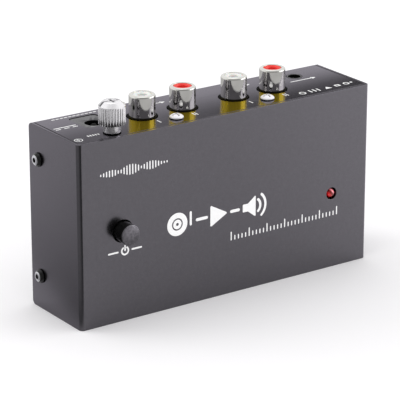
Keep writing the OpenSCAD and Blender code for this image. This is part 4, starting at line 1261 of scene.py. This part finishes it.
def cross_socket(reach, width):
    """Radius of a plus shape: half its width over the sine of the angle from its nearest arm."""
    def radius(angle):
        turn = np.abs((angle + math.pi / 4) % QUARTER - math.pi / 4)
        beside = width / 2 / np.sin(np.maximum(turn, TINY))
        return np.minimum(beside, reach / np.cos(turn))
    return radius


class PREAMP_OT_side_screws(bpy.types.Operator):
    """Black socket-head screws in the cover's sides"""

    bl_idname = "preamp.side_screws"
    bl_label = "Side screws"

    def execute(self, context):
        head = driven_head(
            hex_socket(1.5 * MM), deep=0.95 * MM, head_r=SIDE_HEAD_R, head_h=1.55 * MM,
            rim=0.4 * MM, flat_r=1.2 * MM, shank_r=1.25 * MM, shank_l=3.2 * MM,
        )
        screw_y = COVER_HIGH[1] - context.scene.preamp_case.screw_depth
        shells = [
            put(head, (x, y, z), out)
            for x, out in ((COVER_LOW[0], "-X"), (COVER_HIGH[0], "+X"))
            for y, z in side_screw_places(screw_y)
        ]
        make_piece("side_screw_set", shells, "black_steel", "side_screws")
        return {"FINISHED"}


class PREAMP_OT_feet(bpy.types.Operator):
    """Rubber feet on the base"""

    bl_idname = "preamp.feet"
    bl_label = "Feet"

    def execute(self, context):
        low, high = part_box("rubber_feet")
        radius, height = 4.0 * MM, high[1] - low[1]
        taper, rim, slope, hollow = 0.15 * MM, 1.2 * MM, 0.3 * MM, 0.2 * MM
        profile = rounded(
            [
                (0, 0), (radius, 0), (radius - taper, height), (radius - rim, height),
                (radius - rim - slope, height - hollow), (0, height - hollow),
            ],
            MM * np.array([0, 0.1, 0.5, 0.15, 0.15, 0]),
        )
        foot = turned(profile, 64)
        shells = [
            put(foot, (x, low[1], z), "+Y")
            for x in (low[0] + radius, high[0] - radius)
            for z in (low[2] + radius, high[2] - radius)
        ]
        make_piece("foot_set", shells, "foot_rubber", "rubber_feet")
        return {"FINISHED"}


class PREAMP_OT_sockets(bpy.types.Operator):
    """Phono sockets: blocks with collars, nickel shells, coloured inserts and screws"""

    bl_idname = "preamp.sockets"
    bl_label = "Phono sockets"

    def execute(self, context):
        sockets = context.scene.preamp_sockets
        axes = list(jack_axes())
        low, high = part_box(SHELL_NODES[0])
        radius, top = (high[0] - low[0]) / 2, high[2]
        for node, axis in zip(SHELL_NODES, axes):
            self.shell(sockets, node, axis, radius, top)
            self.insert(sockets, node.replace("shell", "insert"), axis, top)
        for node, pair in (("input_socket_block", axes[:2]), ("output_socket_block", axes[2:])):
            self.block(sockets, node, pair, radius)
        self.screws()
        return {"FINISHED"}

    def shell(self, sockets, node, axis, radius, top):
        """Drawn metal shell with a rolled lip, and its solder tail."""
        low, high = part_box(node)
        x, y = axis
        inner, thin, foot_depth = radius - sockets.wall, radius - 0.25 * MM, 7.0 * MM
        tail_half, tail_h = 0.25 * MM, 1.0 * MM
        foot, collar = PANEL_Z - foot_depth, PANEL_Z + sockets.collar_height
        profile = rounded(
            [
                (inner, foot), (thin, foot), (thin, collar), (radius, collar), (radius, top),
                (sockets.mouth, top), (sockets.mouth, top - sockets.wall),
                (inner, top - sockets.wall),
            ],
            MM * np.array([0.05, 0.05, 0, 0.05, sockets.lip / MM, 0.18, 0.08, 0.5]),
            closed=True, steps=10,
        )
        tail = strip((x - tail_half, y + inner, low[2]), (x + tail_half, high[1], low[2] + tail_h))
        shells = [put(turned(profile, 128, ring=True), (x, y, 0)), tail]
        make_piece(node.replace("shell", "socket_shell"), shells, "nickel", node)

    def insert(self, sockets, node, axis, top):
        """Coloured insulator with a countersunk hole for the plug's pin."""
        low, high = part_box(node)
        outer, contact = (high[0] - low[0]) / 2, 2.1 * MM
        below_lip, shoulder, gap, bevel = 0.12 * MM, 0.6 * MM, 0.05 * MM, 0.1 * MM
        land, sink, sink_deep, contact_h = 0.3 * MM, 0.35 * MM, 0.45 * MM, 2.55 * MM
        face, under = top - below_lip, PANEL_Z + contact_h
        mouth, pin_hole = sockets.mouth, sockets.pin_hole
        profile = rounded(
            [
                (contact, low[2]), (outer, low[2]), (outer, face - shoulder),
                (mouth - gap, face - bevel), (mouth - land, face), (pin_hole + sink, face),
                (pin_hole, face - sink_deep), (pin_hole, under), (contact, under),
            ],
            MM * np.array([0, 0, 0.05, 0.04, 0.1, 0.12, 0.1, 0, 0]),
            closed=True, steps=5,
        )
        shells = [put(turned(profile, 96, ring=True), (*axis, 0))]
        look = "red_insert" if node.endswith("right") else "white_insert"
        make_piece(node.replace("insert", "socket_insert"), shells, look, node)

    def block(self, sockets, node, pair, radius):
        """Moulding behind the panel, with a lug for its screw and a collar round each shell."""
        low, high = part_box(node)
        inside_z, collar_z = PANEL_Z - PANEL_WALL, PANEL_Z + sockets.collar_height
        middle = (pair[0][0] + pair[1][0]) / 2
        before_axis, lug, corner, edge = 5.6 * MM, 4.0 * MM, 0.4 * MM, 0.1 * MM
        shoulder = pair[0][1] - before_axis
        outline = rounded(
            [
                (low[0], shoulder), (middle - lug, shoulder), (middle - lug, low[1]),
                (middle + lug, low[1]), (middle + lug, shoulder), (high[0], shoulder),
                (high[0], high[1]), (low[0], high[1]),
            ],
            corner, closed=True, steps=3,
        )
        bore, foot = radius - 0.2 * MM, inside_z - 0.5 * MM
        loops = [outline, *(circle(axis, bore, 64) for axis in pair)]
        rim = rounded(
            [(bore, foot), (sockets.collar, foot), (sockets.collar, collar_z), (bore, collar_z)],
            MM * np.array([0, 0, 0.12, 0.05]), closed=True, steps=4,
        )
        shells = [plate(loops, inside_z - low[2], edge, level(inside_z))]
        shells += [put(turned(rim, 128, ring=True), (*axis, 0)) for axis in pair]
        make_piece(node.replace("block", "moulding"), shells, "black_moulding", node)

    def screws(self):
        """Two bright pan screws with a cross recess, and painted shade in the recess and under the
        rim.
        """
        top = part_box("socket_screws")[1][2]
        axes = socket_screw_axes()
        head = driven_head(
            cross_socket(1.5 * MM, 0.6 * MM), deep=0.75 * MM, head_r=SOCKET_HEAD_R,
            head_h=top - PANEL_Z, rim=0.55 * MM, flat_r=0.8 * MM, shank_r=1.45 * MM,
            shank_l=7.5 * MM,
        )

        # Painted shade: full on the shank, and part of it under the rim and in the recess
        def painted_shade_share(x, y, z):
            tall, shank_top, edge_top, recess_r = z - PANEL_Z, 0.1 * MM, 0.25 * MM, 1.65 * MM
            near = np.minimum(*(np.hypot(x - middle, y - row) for middle, row in axes))
            under_dome = 0.2 * MM + 0.2 * near**2 / MM
            recess = (top - z > under_dome) & (near < recess_r)
            return np.where(tall < shank_top, 1.0, np.where(tall < edge_top, 0.6, 0.75 * recess))

        shells = [put(head, (*axis, PANEL_Z)) for axis in axes]
        make_piece("socket_screw_set", shells, "bright_screw", "socket_screws", painted_shade_share=painted_shade_share)


class PREAMP_OT_jacks(bpy.types.Operator):
    """Barrel power jack with its pin, and the small jack"""

    bl_idname = "preamp.jacks"
    bl_label = "Power jack and small jack"

    def execute(self, context):
        self.power_jack()
        self.small_jack()
        return {"FINISHED"}

    def power_jack(self):
        """Housing with a barrel for the plug, a lower block behind it, and the centre pin."""
        x, y = (DC_LOW[0] + DC_HIGH[0]) / 2, DC_HIGH[1] - DC_AXIS_DEPTH
        top, edge, deep, barrel_r, behind = DC_HIGH[2], 0.1 * MM, 9.5 * MM, 2.85 * MM, 3.45 * MM
        outline = rectangle((DC_LOW[0], DC_HIGH[1] - DC_FACE_DEPTH), DC_HIGH[:2], DC_CORNER_R)
        barrel = circle((x, y), barrel_r, 96)
        low = (DC_LOW[0], y - behind, DC_LOW[2])
        shells = [
            plate([outline, barrel], deep, edge, level(top), steps=4),
            rounded_block(low, (*DC_HIGH[:2], top - deep + edge), 2 * edge),
        ]
        make_piece(
            "power_jack_housing", shells, "power_jack", "power_jack_body"
        )
        low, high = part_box("power_jack_pin")
        pin_r, thick = 1.0 * MM, 0.6 * MM
        pin = rounded(
            [(0, low[2]), (pin_r, low[2]), (pin_r, high[2]), (0, high[2])],
            MM * np.array([0, 0.1, 0.6, 0]), steps=8,
        )
        tail = strip((x - pin_r, y, low[2]), (x + pin_r, high[1], low[2] + thick))
        shells = [put(turned(pin, 48), (x, y, 0)), tail]
        make_piece(
            "power_jack_centre_pin", shells, "jack_pin", "power_jack_pin"
        )

    def small_jack(self):
        """Nose in the panel, the body behind it, and the body's lower end."""
        axis = small_jack_axis()
        nose_in, nose_out, foot = 2.1 * MM, 2.5 * MM, PANEL_Z - 6.0 * MM
        corner, edge, bore_r, deep, end = 0.3 * MM, 0.1 * MM, 1.8 * MM, 11.2 * MM, 0.8 * MM
        nose = rounded(
            [(nose_in, foot), (nose_out, foot), (nose_out, PANEL_Z), (nose_in, PANEL_Z)],
            MM * np.array([0, 0, 0.1, 0.05]), closed=True, steps=4,
        )
        outline = rectangle(SMALL_LOW[:2], SMALL_HIGH[:2], corner, steps=3)
        loops = [outline, circle(axis, bore_r, 48)]
        shells = [
            put(turned(nose, 96, ring=True), (*axis, 0)),
            plate(loops, deep, edge, level(PANEL_Z - PANEL_WALL)),
            rounded_block(SMALL_LOW, (*SMALL_HIGH[:2], SMALL_LOW[2] + end), edge),
        ]
        make_piece(
            "small_jack_moulding", shells, "small_jack", "small_jack_body"
        )


class PREAMP_OT_ground(bpy.types.Operator):
    """Knurled ground screw with crossed slots, and its washer"""

    bl_idname = "preamp.ground"
    bl_label = "Ground terminal"

    # Heights over the panel and radii of the knob
    edge = 1.4 * MM
    ease = 0.15 * MM
    slot_deep = 1.1 * MM
    short_slot = 1.8 * MM
    knurl_low = 2.7 * MM
    taper = 1.9 * MM
    neck = 2.7 * MM
    shank = 1.5 * MM

    def execute(self, context):
        controls = context.scene.preamp_controls
        x, y = centre_of("ground_screw", 0, 1)
        knob_r = (KNOB_HIGH[0] - KNOB_LOW[0]) / 2
        top = KNOB_HIGH[2] - PANEL_Z
        shell = self.knob(controls, knob_r, top, KNOB_LOW[2] - PANEL_Z)
        turn = controls.slot_turn
        # Below the top: where the slots are dark, and where the knurl and its painted shade begin
        slot_from, slot_to, knurl_from = 0.3 * MM, 1.3 * MM, 1.8 * MM
        painted_shade_from, painted_shade_over = 2.6 * MM, 3.2 * MM

        def painted_shade_share(px, py, pz):
            """Painted shade: dark in the slots and on the neck, and darker down the knurl's
            grooves.
            """
            far, down = np.hypot(px - x, py - y), top + PANEL_Z - pz
            off_slot = np.abs((py - y) * math.cos(turn) - (px - x) * math.sin(turn))
            in_slot = (far < knob_r - self.edge) | (off_slot < controls.slot / 2)
            slots = (down > slot_from) & (down < slot_to) & in_slot
            neck = down > top - self.knurl_low
            knurl = (down > knurl_from) & ~neck
            lower = 0.2 + 0.5 * np.clip((down - painted_shade_from) / painted_shade_over, 0, 1)
            groove_shade = lower * (knob_r - far) / controls.groove
            return np.where(slots, 0.75, np.where(knurl, groove_shade, 0.35 * neck))

        make_piece(
            "ground_thumb_screw", [put(shell, (x, y, PANEL_Z))], "knob_nickel", "ground_screw",
            body="ground_knob", painted_shade_share=painted_shade_share,
        )
        low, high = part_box("ground_washer")
        inner, outer, edge, height = 1.6 * MM, 2.78 * MM, 0.1 * MM, 0.5 * (high[2] - low[2])
        profile = rectangle((inner, 0), (outer, height), edge, steps=3)
        washer = put(turned(profile, 96, ring=True), (x, y, PANEL_Z))
        make_piece(
            "ground_washer_ring", [washer], "black_moulding", "ground_washer", body="ground_clamp"
        )
        return {"FINISHED"}

    def knob(self, controls, knob_r, top, bottom):
        """Knurled screw whose rows run from the middle of its top to the tip of its thread.

        The slots reach a radius of half their width over the sine of the angle from their axis.
        Between two ridges the radius falls by the groove's depth times the square of the way
        from the ridge to the groove's middle. Lower down the ridges narrow to points.
        """
        half_slot = controls.slot / 2
        edge_turn = math.asin(half_slot / knob_r)
        columns = 12 * controls.grooves
        cuts = [
            start + sign * (edge_turn + beside)
            for start in (0.0, math.pi) for sign in (-1, 1) for beside in (-1e-4, 1e-4)
        ]
        angle = np.sort(np.append(np.arange(columns) * TURN / columns, np.mod(cuts, TURN)))
        start = knob_r - self.edge - self.ease

        # The crossed slots in the top: the long one runs out through the rim
        long_turn = np.abs((angle + QUARTER) % math.pi - QUARTER)
        short_turn = QUARTER - long_turn
        through = long_turn < edge_turn
        long_slot, short_slot = (
            half_slot / np.sin(np.maximum(turn, TINY)) for turn in (long_turn, short_turn)
        )
        short_slot = np.minimum(short_slot, self.short_slot / np.cos(short_turn))
        recess = np.minimum(np.maximum(long_slot, short_slot), knob_r)
        floor = top - self.slot_deep

        def crown(r):
            past, ease = r - (knob_r - self.edge), self.ease
            fall = np.where(past > ease, past, np.maximum(past + ease, 0) ** 2 / (4 * ease))
            return np.where(through, np.minimum(floor, top - fall), top - fall)

        rim = np.where(through, 0, 0.04 * MM)
        rows = [
            (0, floor), (recess * 0.5, floor), (recess, floor),
            (recess, np.maximum(crown(recess) - rim, floor)),
        ]
        for share in (0.02, 0.1, 0.3, 0.6, 1.0):
            row = recess + (np.maximum(start, recess) - recess) * share
            rows.append((row, crown(row)))
        for share in np.linspace(0, 1, 13)[1:]:
            row = np.maximum(start + (knob_r - start) * share, recess)
            rows.append((row, crown(row)))

        # The grooves begin under the rounded edge and run down to the ridges' points
        groove, low, step, lead = controls.groove, self.knurl_low, TURN / controls.grooves, 0.4 * MM
        high = top - self.edge - lead - 0.05 * MM
        off_ridge = 1 - np.abs((angle + step / 2) % step - step / 2) / (step / 2)
        rings = [(high + lead, 0.0), (high, 0.9)]
        rings += [(z, 1.0) for z in np.linspace(high - lead, low + self.taper, 6)]
        rows += [(knob_r - share * groove * off_ridge**2, z) for z, share in rings]
        for share in np.linspace(0, 1, 7)[1:]:
            narrow = np.clip(off_ridge / (1.04 - share), 0, 1)
            z = low + 0.06 * MM + self.taper * (1 - share)
            rows.append((knob_r - groove * (1 + share) * narrow**2, z))

        # The underside of the knurl, the neck under it and the shank down to its tip
        rows += [
            (knob_r - 0.65 * MM, low), (2.95 * MM, low), (2.78 * MM, low - 0.12 * MM),
            (self.neck, low - 0.5 * MM), (self.neck, 0.4 * MM), (2.6 * MM, 0.3 * MM),
            (self.shank, 0.3 * MM), (self.shank, bottom + 0.4 * MM), (1.1 * MM, bottom),
            (0, bottom),
        ]
        return polar_rows(rows, angle + controls.slot_turn)


class PREAMP_OT_button(bpy.types.Operator):
    """Round cap of the power button"""

    bl_idname = "preamp.button"
    bl_label = "Power button"

    def execute(self, context):
        x, z = centre_of("power_button", 0, 2)
        radius = (BUTTON_HIGH[0] - BUTTON_LOW[0]) / 2
        end = BUTTON_LOW[1] - BUTTON_HIGH[1]
        head, skirt_r, bore_r, bore_end = -10.0 * MM, 2.7 * MM, 1.85 * MM, end + 5.2 * MM
        half_fall, fall, crown = -0.09 * MM, -0.35 * MM, 6.0 * MM
        edge, head_edge, end_edge = context.scene.preamp_controls.button_edge, 0.2 * MM, 0.1 * MM
        profile = rounded(
            [
                (0, 0), (0.5 * radius, half_fall), (radius, fall), (radius, head),
                (skirt_r, head), (skirt_r, end), (bore_r, end), (bore_r, bore_end), (0, bore_end),
            ],
            [0, crown, edge, head_edge, 0, end_edge, end_edge, 0, 0],
            steps=8,
        )
        cap = put(turned(profile, 128), (x, BUTTON_LOW[1], z), "-Y")
        make_piece("power_button_cap", [cap], "button_plastic", "power_button", body="button")
        return {"FINISHED"}


class PREAMP_OT_lamp(bpy.types.Operator):
    """Red lamp"""

    bl_idname = "preamp.lamp"
    bl_label = "Lamp"

    def execute(self, context):
        x, z = centre_of("lamp_lens", 0, 2)
        rim_r, rim_h, end = 1.9 * MM, 1.0 * MM, LENS_LOW[1] - LENS_HIGH[1]
        rim = end + rim_h
        angle = np.linspace(0, QUARTER, 17)
        dome = LENS_R * np.stack([np.sin(angle), np.cos(angle) - 1], -1)
        rest = rounded(
            [(LENS_R, rim), (rim_r, rim), (rim_r, end), (0, end)],
            MM * np.array([0.1, 0.15, 0.1, 0]),
        )
        lens = put(turned(np.concatenate([dome, rest]), 64), (x, LENS_LOW[1], z), "-Y")
        make_piece("lamp_dome", [lens], "lamp_red", "lamp_lens")
        return {"FINISHED"}


class PREAMP_OT_spring(bpy.types.Operator):
    """Return spring of the switch, at the length of the CAD spring"""

    bl_idname = "preamp.spring"
    bl_label = "Return spring"

    def execute(self, context):
        low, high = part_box("switch_spring")
        x, z = centre_of("switch_spring", 0, 2)
        wire, turns, travel = 0.22 * MM, 5, 2.2 * MM
        radius, tall = (high[0] - low[0]) / 2 - wire, high[1] - low[1]
        shell = put(coil(radius, wire, turns, tall), (x, high[1], z), "-Y")
        piece = make_piece("return_spring", [shell], "plated_steel", "switch_spring")
        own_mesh(piece)
        return {"FINISHED"}


class PREAMP_OT_inner(bpy.types.Operator):
    """Finishes of the CAD pieces inside the case"""

    bl_idname = "preamp.inner"
    bl_label = "Inner pieces"

    def execute(self, context):
        for name, nodes in INNER_FINISHES.items():
            for node in nodes:
                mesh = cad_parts[node].data
                mesh.materials.clear()
                mesh.materials.append(finish(name))
        return {"FINISHED"}


# ---------------------------------------------------------------------------
# Printed marks: each mark is an outline followed by its holes, in millimetres


def bar(x0, y0, x1, y1, width=0.4, steps=3):
    """Bar with round ends: two half circles about its ends."""
    start, stop = np.array([x0, y0], float), np.array([x1, y1], float)
    first = math.atan2(y1 - y0, x1 - x0) + QUARTER + np.linspace(0, math.pi, steps + 1)
    half = width / 2
    return [np.concatenate([start + half * around(first), stop + half * around(first + math.pi)])]


def band(centre, radius, width, start, stop, steps=24):
    """Stretch of a ring, from one angle to another in degrees, with round ends."""
    angle = np.radians(np.linspace(start, stop, steps + 1))
    half, cap = width / 2, np.linspace(0, math.pi, 7)[1:-1]
    last = radius * around(angle[-1]) + half * around(angle[-1] + cap)
    first = radius * around(angle[0]) + half * around(angle[0] + math.pi + cap)
    outer, inner = (radius + half) * around(angle), (radius - half) * around(angle[::-1])
    return [np.asarray(centre, float) + np.concatenate([outer, last, inner, first])]


def ring(centre, outer, inner, sides=48):
    """Flat ring."""
    return [circle(centre, outer, sides), circle(centre, inner, sides)]


def polygon(corners, radius, steps=6):
    """Shape with rounded corners."""
    return [rounded(corners, radius, closed=True, steps=steps)]


def arrow(x0, x1, y, width=0.45):
    """Marks of a bar and its head."""
    back = x1 - 1.8
    head = [(back, y - 0.9), (x1, y), (back, y + 0.9)]
    return [bar(x0, y, back, y, width), polygon(head, 0.1, steps=2)]


class PREAMP_OT_prints(bpy.types.Operator):
    """White marks on the labelled face and the connector panel"""

    bl_idname = "preamp.prints"
    bl_label = "Printed marks"

    def execute(self, context):
        thickness = context.scene.preamp_prints.thickness

        def on_face(u, v, deep):
            return np.stack([u, FACE_Y - thickness + deep, v], -1)

        for name, marks, place in (
            ("power_mark", self.power_mark(), on_face),
            ("wave_mark", self.wave_mark(), on_face),
            ("signal_path_mark", self.signal_path(), on_face),
            ("scale_mark", self.scale_mark(), on_face),
            ("panel_marks", self.panel_marks(), level(PANEL_Z + thickness)),
        ):
            shells = [
                plate([loop * MM for loop in mark], thickness, thickness / 3, place, steps=1)
                for mark in marks
            ]
            make_piece(name, shells, "print_ink")
        return {"FINISHED"}

    def power_mark(self):
        """Broken ring with a bar through its gap, between two short lines."""
        x, z, radius, width = -38.85, 22.9, 1.2, 0.55
        marks = [
            band((x, z), radius, width, 125, 415), bar(x, z + 0.15, x, z + 1.6, width, 6),
        ]
        for side in (-1, 1):
            marks.append(bar(x + side * 2.6, z, x + side * 5.9, z, width, 6))
        return marks

    def wave_mark(self):
        """Row of upright bars whose heights follow a swelling wave."""
        low, high, z, count = -47.2, -23.3, 48.6, 24
        share = np.linspace(0, 1, count)
        swell = np.sin(share * math.pi) ** 0.7
        half = (0.3 + 2.7 * np.abs(np.sin(share * 9.4 + 0.5)) * swell) / 2
        x = low + share * (high - low)
        return [bar(a, z - h, a, z + h, 0.42, 6) for a, h in zip(x, half)]

    def signal_path(self):
        """Record, amplifier triangle and loudspeaker, joined by lines."""
        z, disc = 27.35, (-19.6, 27.35)
        triangle = [(-7.2, z - 3.6), (-0.6, z), (-7.2, z + 3.6)]
        horn = [
            (5.2, z - 1.3), (7.2, z - 1.3), (10.2, z - 3.6),
            (10.2, z + 3.6), (7.2, z + 1.3), (5.2, z + 1.3),
        ]
        return [
            ring(disc, 3.75, 2.0, 72), ring(disc, 1.55, 0.5),
            bar(-14.6, z + 2.9, -14.6, z - 1.0, 0.8, 6), bar(-12.2, z, -8.6, z, 1.0, 6),
            polygon(triangle, 0.35), bar(0.8, z, 3.6, z, 1.0, 6), polygon(horn, 0.25, 4),
            *(band((9.4, z), radius, 0.85, -48, 48) for radius in (2.6, 4.6)),
        ]

    def scale_mark(self):
        """Even ticks, every fifth one tall."""
        ticks = enumerate(np.linspace(0.8, 42.6, 31))
        z, short, tall = 17.9, 1.2, 2.5
        return [bar(x, z, x, z + (short if k % 5 else tall), 0.42) for k, x in ticks]

    def panel_marks(self):
        """Small signs beside the connectors.

        Earth, direct current, arrows for into and out of, one and two bars for left and right,
        a dashed line, and a row of plain shapes.
        """
        x, y = -52.0, -9.8
        marks = [ring((x, y), 1.35, 1.12), bar(x, y - 0.75, x, y + 0.1, 0.2)]
        for k, half in enumerate((0.62, 0.4, 0.18)):
            line = y + 0.1 + 0.3 * k
            marks.append(bar(x - half, line, x + half, line, 0.17))
        marks += [bar(x, -8.6, x, -7.7, 0.45) for x in np.linspace(-47.6, -44.0, 5)]
        marks.append(bar(-52.4, 3.4, -45.0, 3.4, 0.5))
        marks += [bar(x, 2.1, x + 1.4, 2.1, 0.5) for x in (-52.4, -49.4, -46.4)]
        marks += [bar(x, 11.3, x + 0.8, 11.3, 0.5) for x in np.arange(-48.4, -32.2, 1.5)]
        for start, stop, y in ((-19.5, -9.3, 7.6), (14.0, 23.5, 7.6), (35.6, 45.6, 1.85)):
            marks += arrow(start, stop, y)
        beside = ((1.15, (0,)), (-0.55, (-0.45, 0.45)), (1.2, (0,)), (-0.3, (-0.45, 0.45)))
        for (axis, _), (shift, sides) in zip(jack_axes(), beside):
            x = axis / MM + shift
            marks += [bar(x + side, -7.2, x + side, -9.2) for side in sides]
        marks.append(ring((31.4, -9.9), 1.2, 0.75, 32))
        marks += [bar(x, -10.7, x, -8.7, 0.55) for x in (34.6, 36.2, 37.8)]
        square = [((44.6, -10.3), (46.6, -8.6), 0.2), ((45.1, -9.8), (46.1, -9.1), 0.1)]
        return marks + [
            polygon([(40.2, -10.6), (42.8, -10.6), (41.5, -8.6)], 0.15, 2),
            [rectangle(low, high, radius, 2) for low, high, radius in square],
            ring((49.3, -9.3), 1.1, 0.65, 32), [circle((51.4, -9.1), 0.5, 20)],
        ]


class PREAMP_PT_panel(bpy.types.Panel):
    """Lists the preamp's operators"""

    bl_label = "Phono preamp"
    bl_idname = "PREAMP_PT_panel"
    bl_space_type = "VIEW_3D"
    bl_region_type = "UI"
    bl_category = "Preamp"

    def draw(self, context):
        for operator in OPERATORS:
            self.layout.operator(operator.bl_idname)


OPERATORS = (
    PREAMP_OT_stage,
    PREAMP_OT_cover,
    PREAMP_OT_chassis,
    PREAMP_OT_side_screws,
    PREAMP_OT_feet,
    PREAMP_OT_sockets,
    PREAMP_OT_jacks,
    PREAMP_OT_ground,
    PREAMP_OT_button,
    PREAMP_OT_lamp,
    PREAMP_OT_prints,
    PREAMP_OT_spring,
    PREAMP_OT_inner,
)
CLASSES = (*SETTINGS.values(), *OPERATORS, PREAMP_PT_panel)


def register():
    for cls in CLASSES:
        bpy.utils.register_class(cls)
    for name, cls in SETTINGS.items():
        setattr(bpy.types.Scene, name, bpy.props.PointerProperty(type=cls))


def unregister():
    for name in SETTINGS:
        delattr(bpy.types.Scene, name)
    for cls in reversed(CLASSES):
        bpy.utils.unregister_class(cls)


def main():
    """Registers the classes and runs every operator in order."""
    register()
    for operator in OPERATORS:
        area, name = operator.bl_idname.split(".")
        getattr(getattr(bpy.ops, area), name)()
    boxes = {"cad": CAD_BOX, "visual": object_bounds()}
    plain = {key: np.asarray(box, float).tolist() for key, box in boxes.items()}


if __name__ == "__main__":
    main()
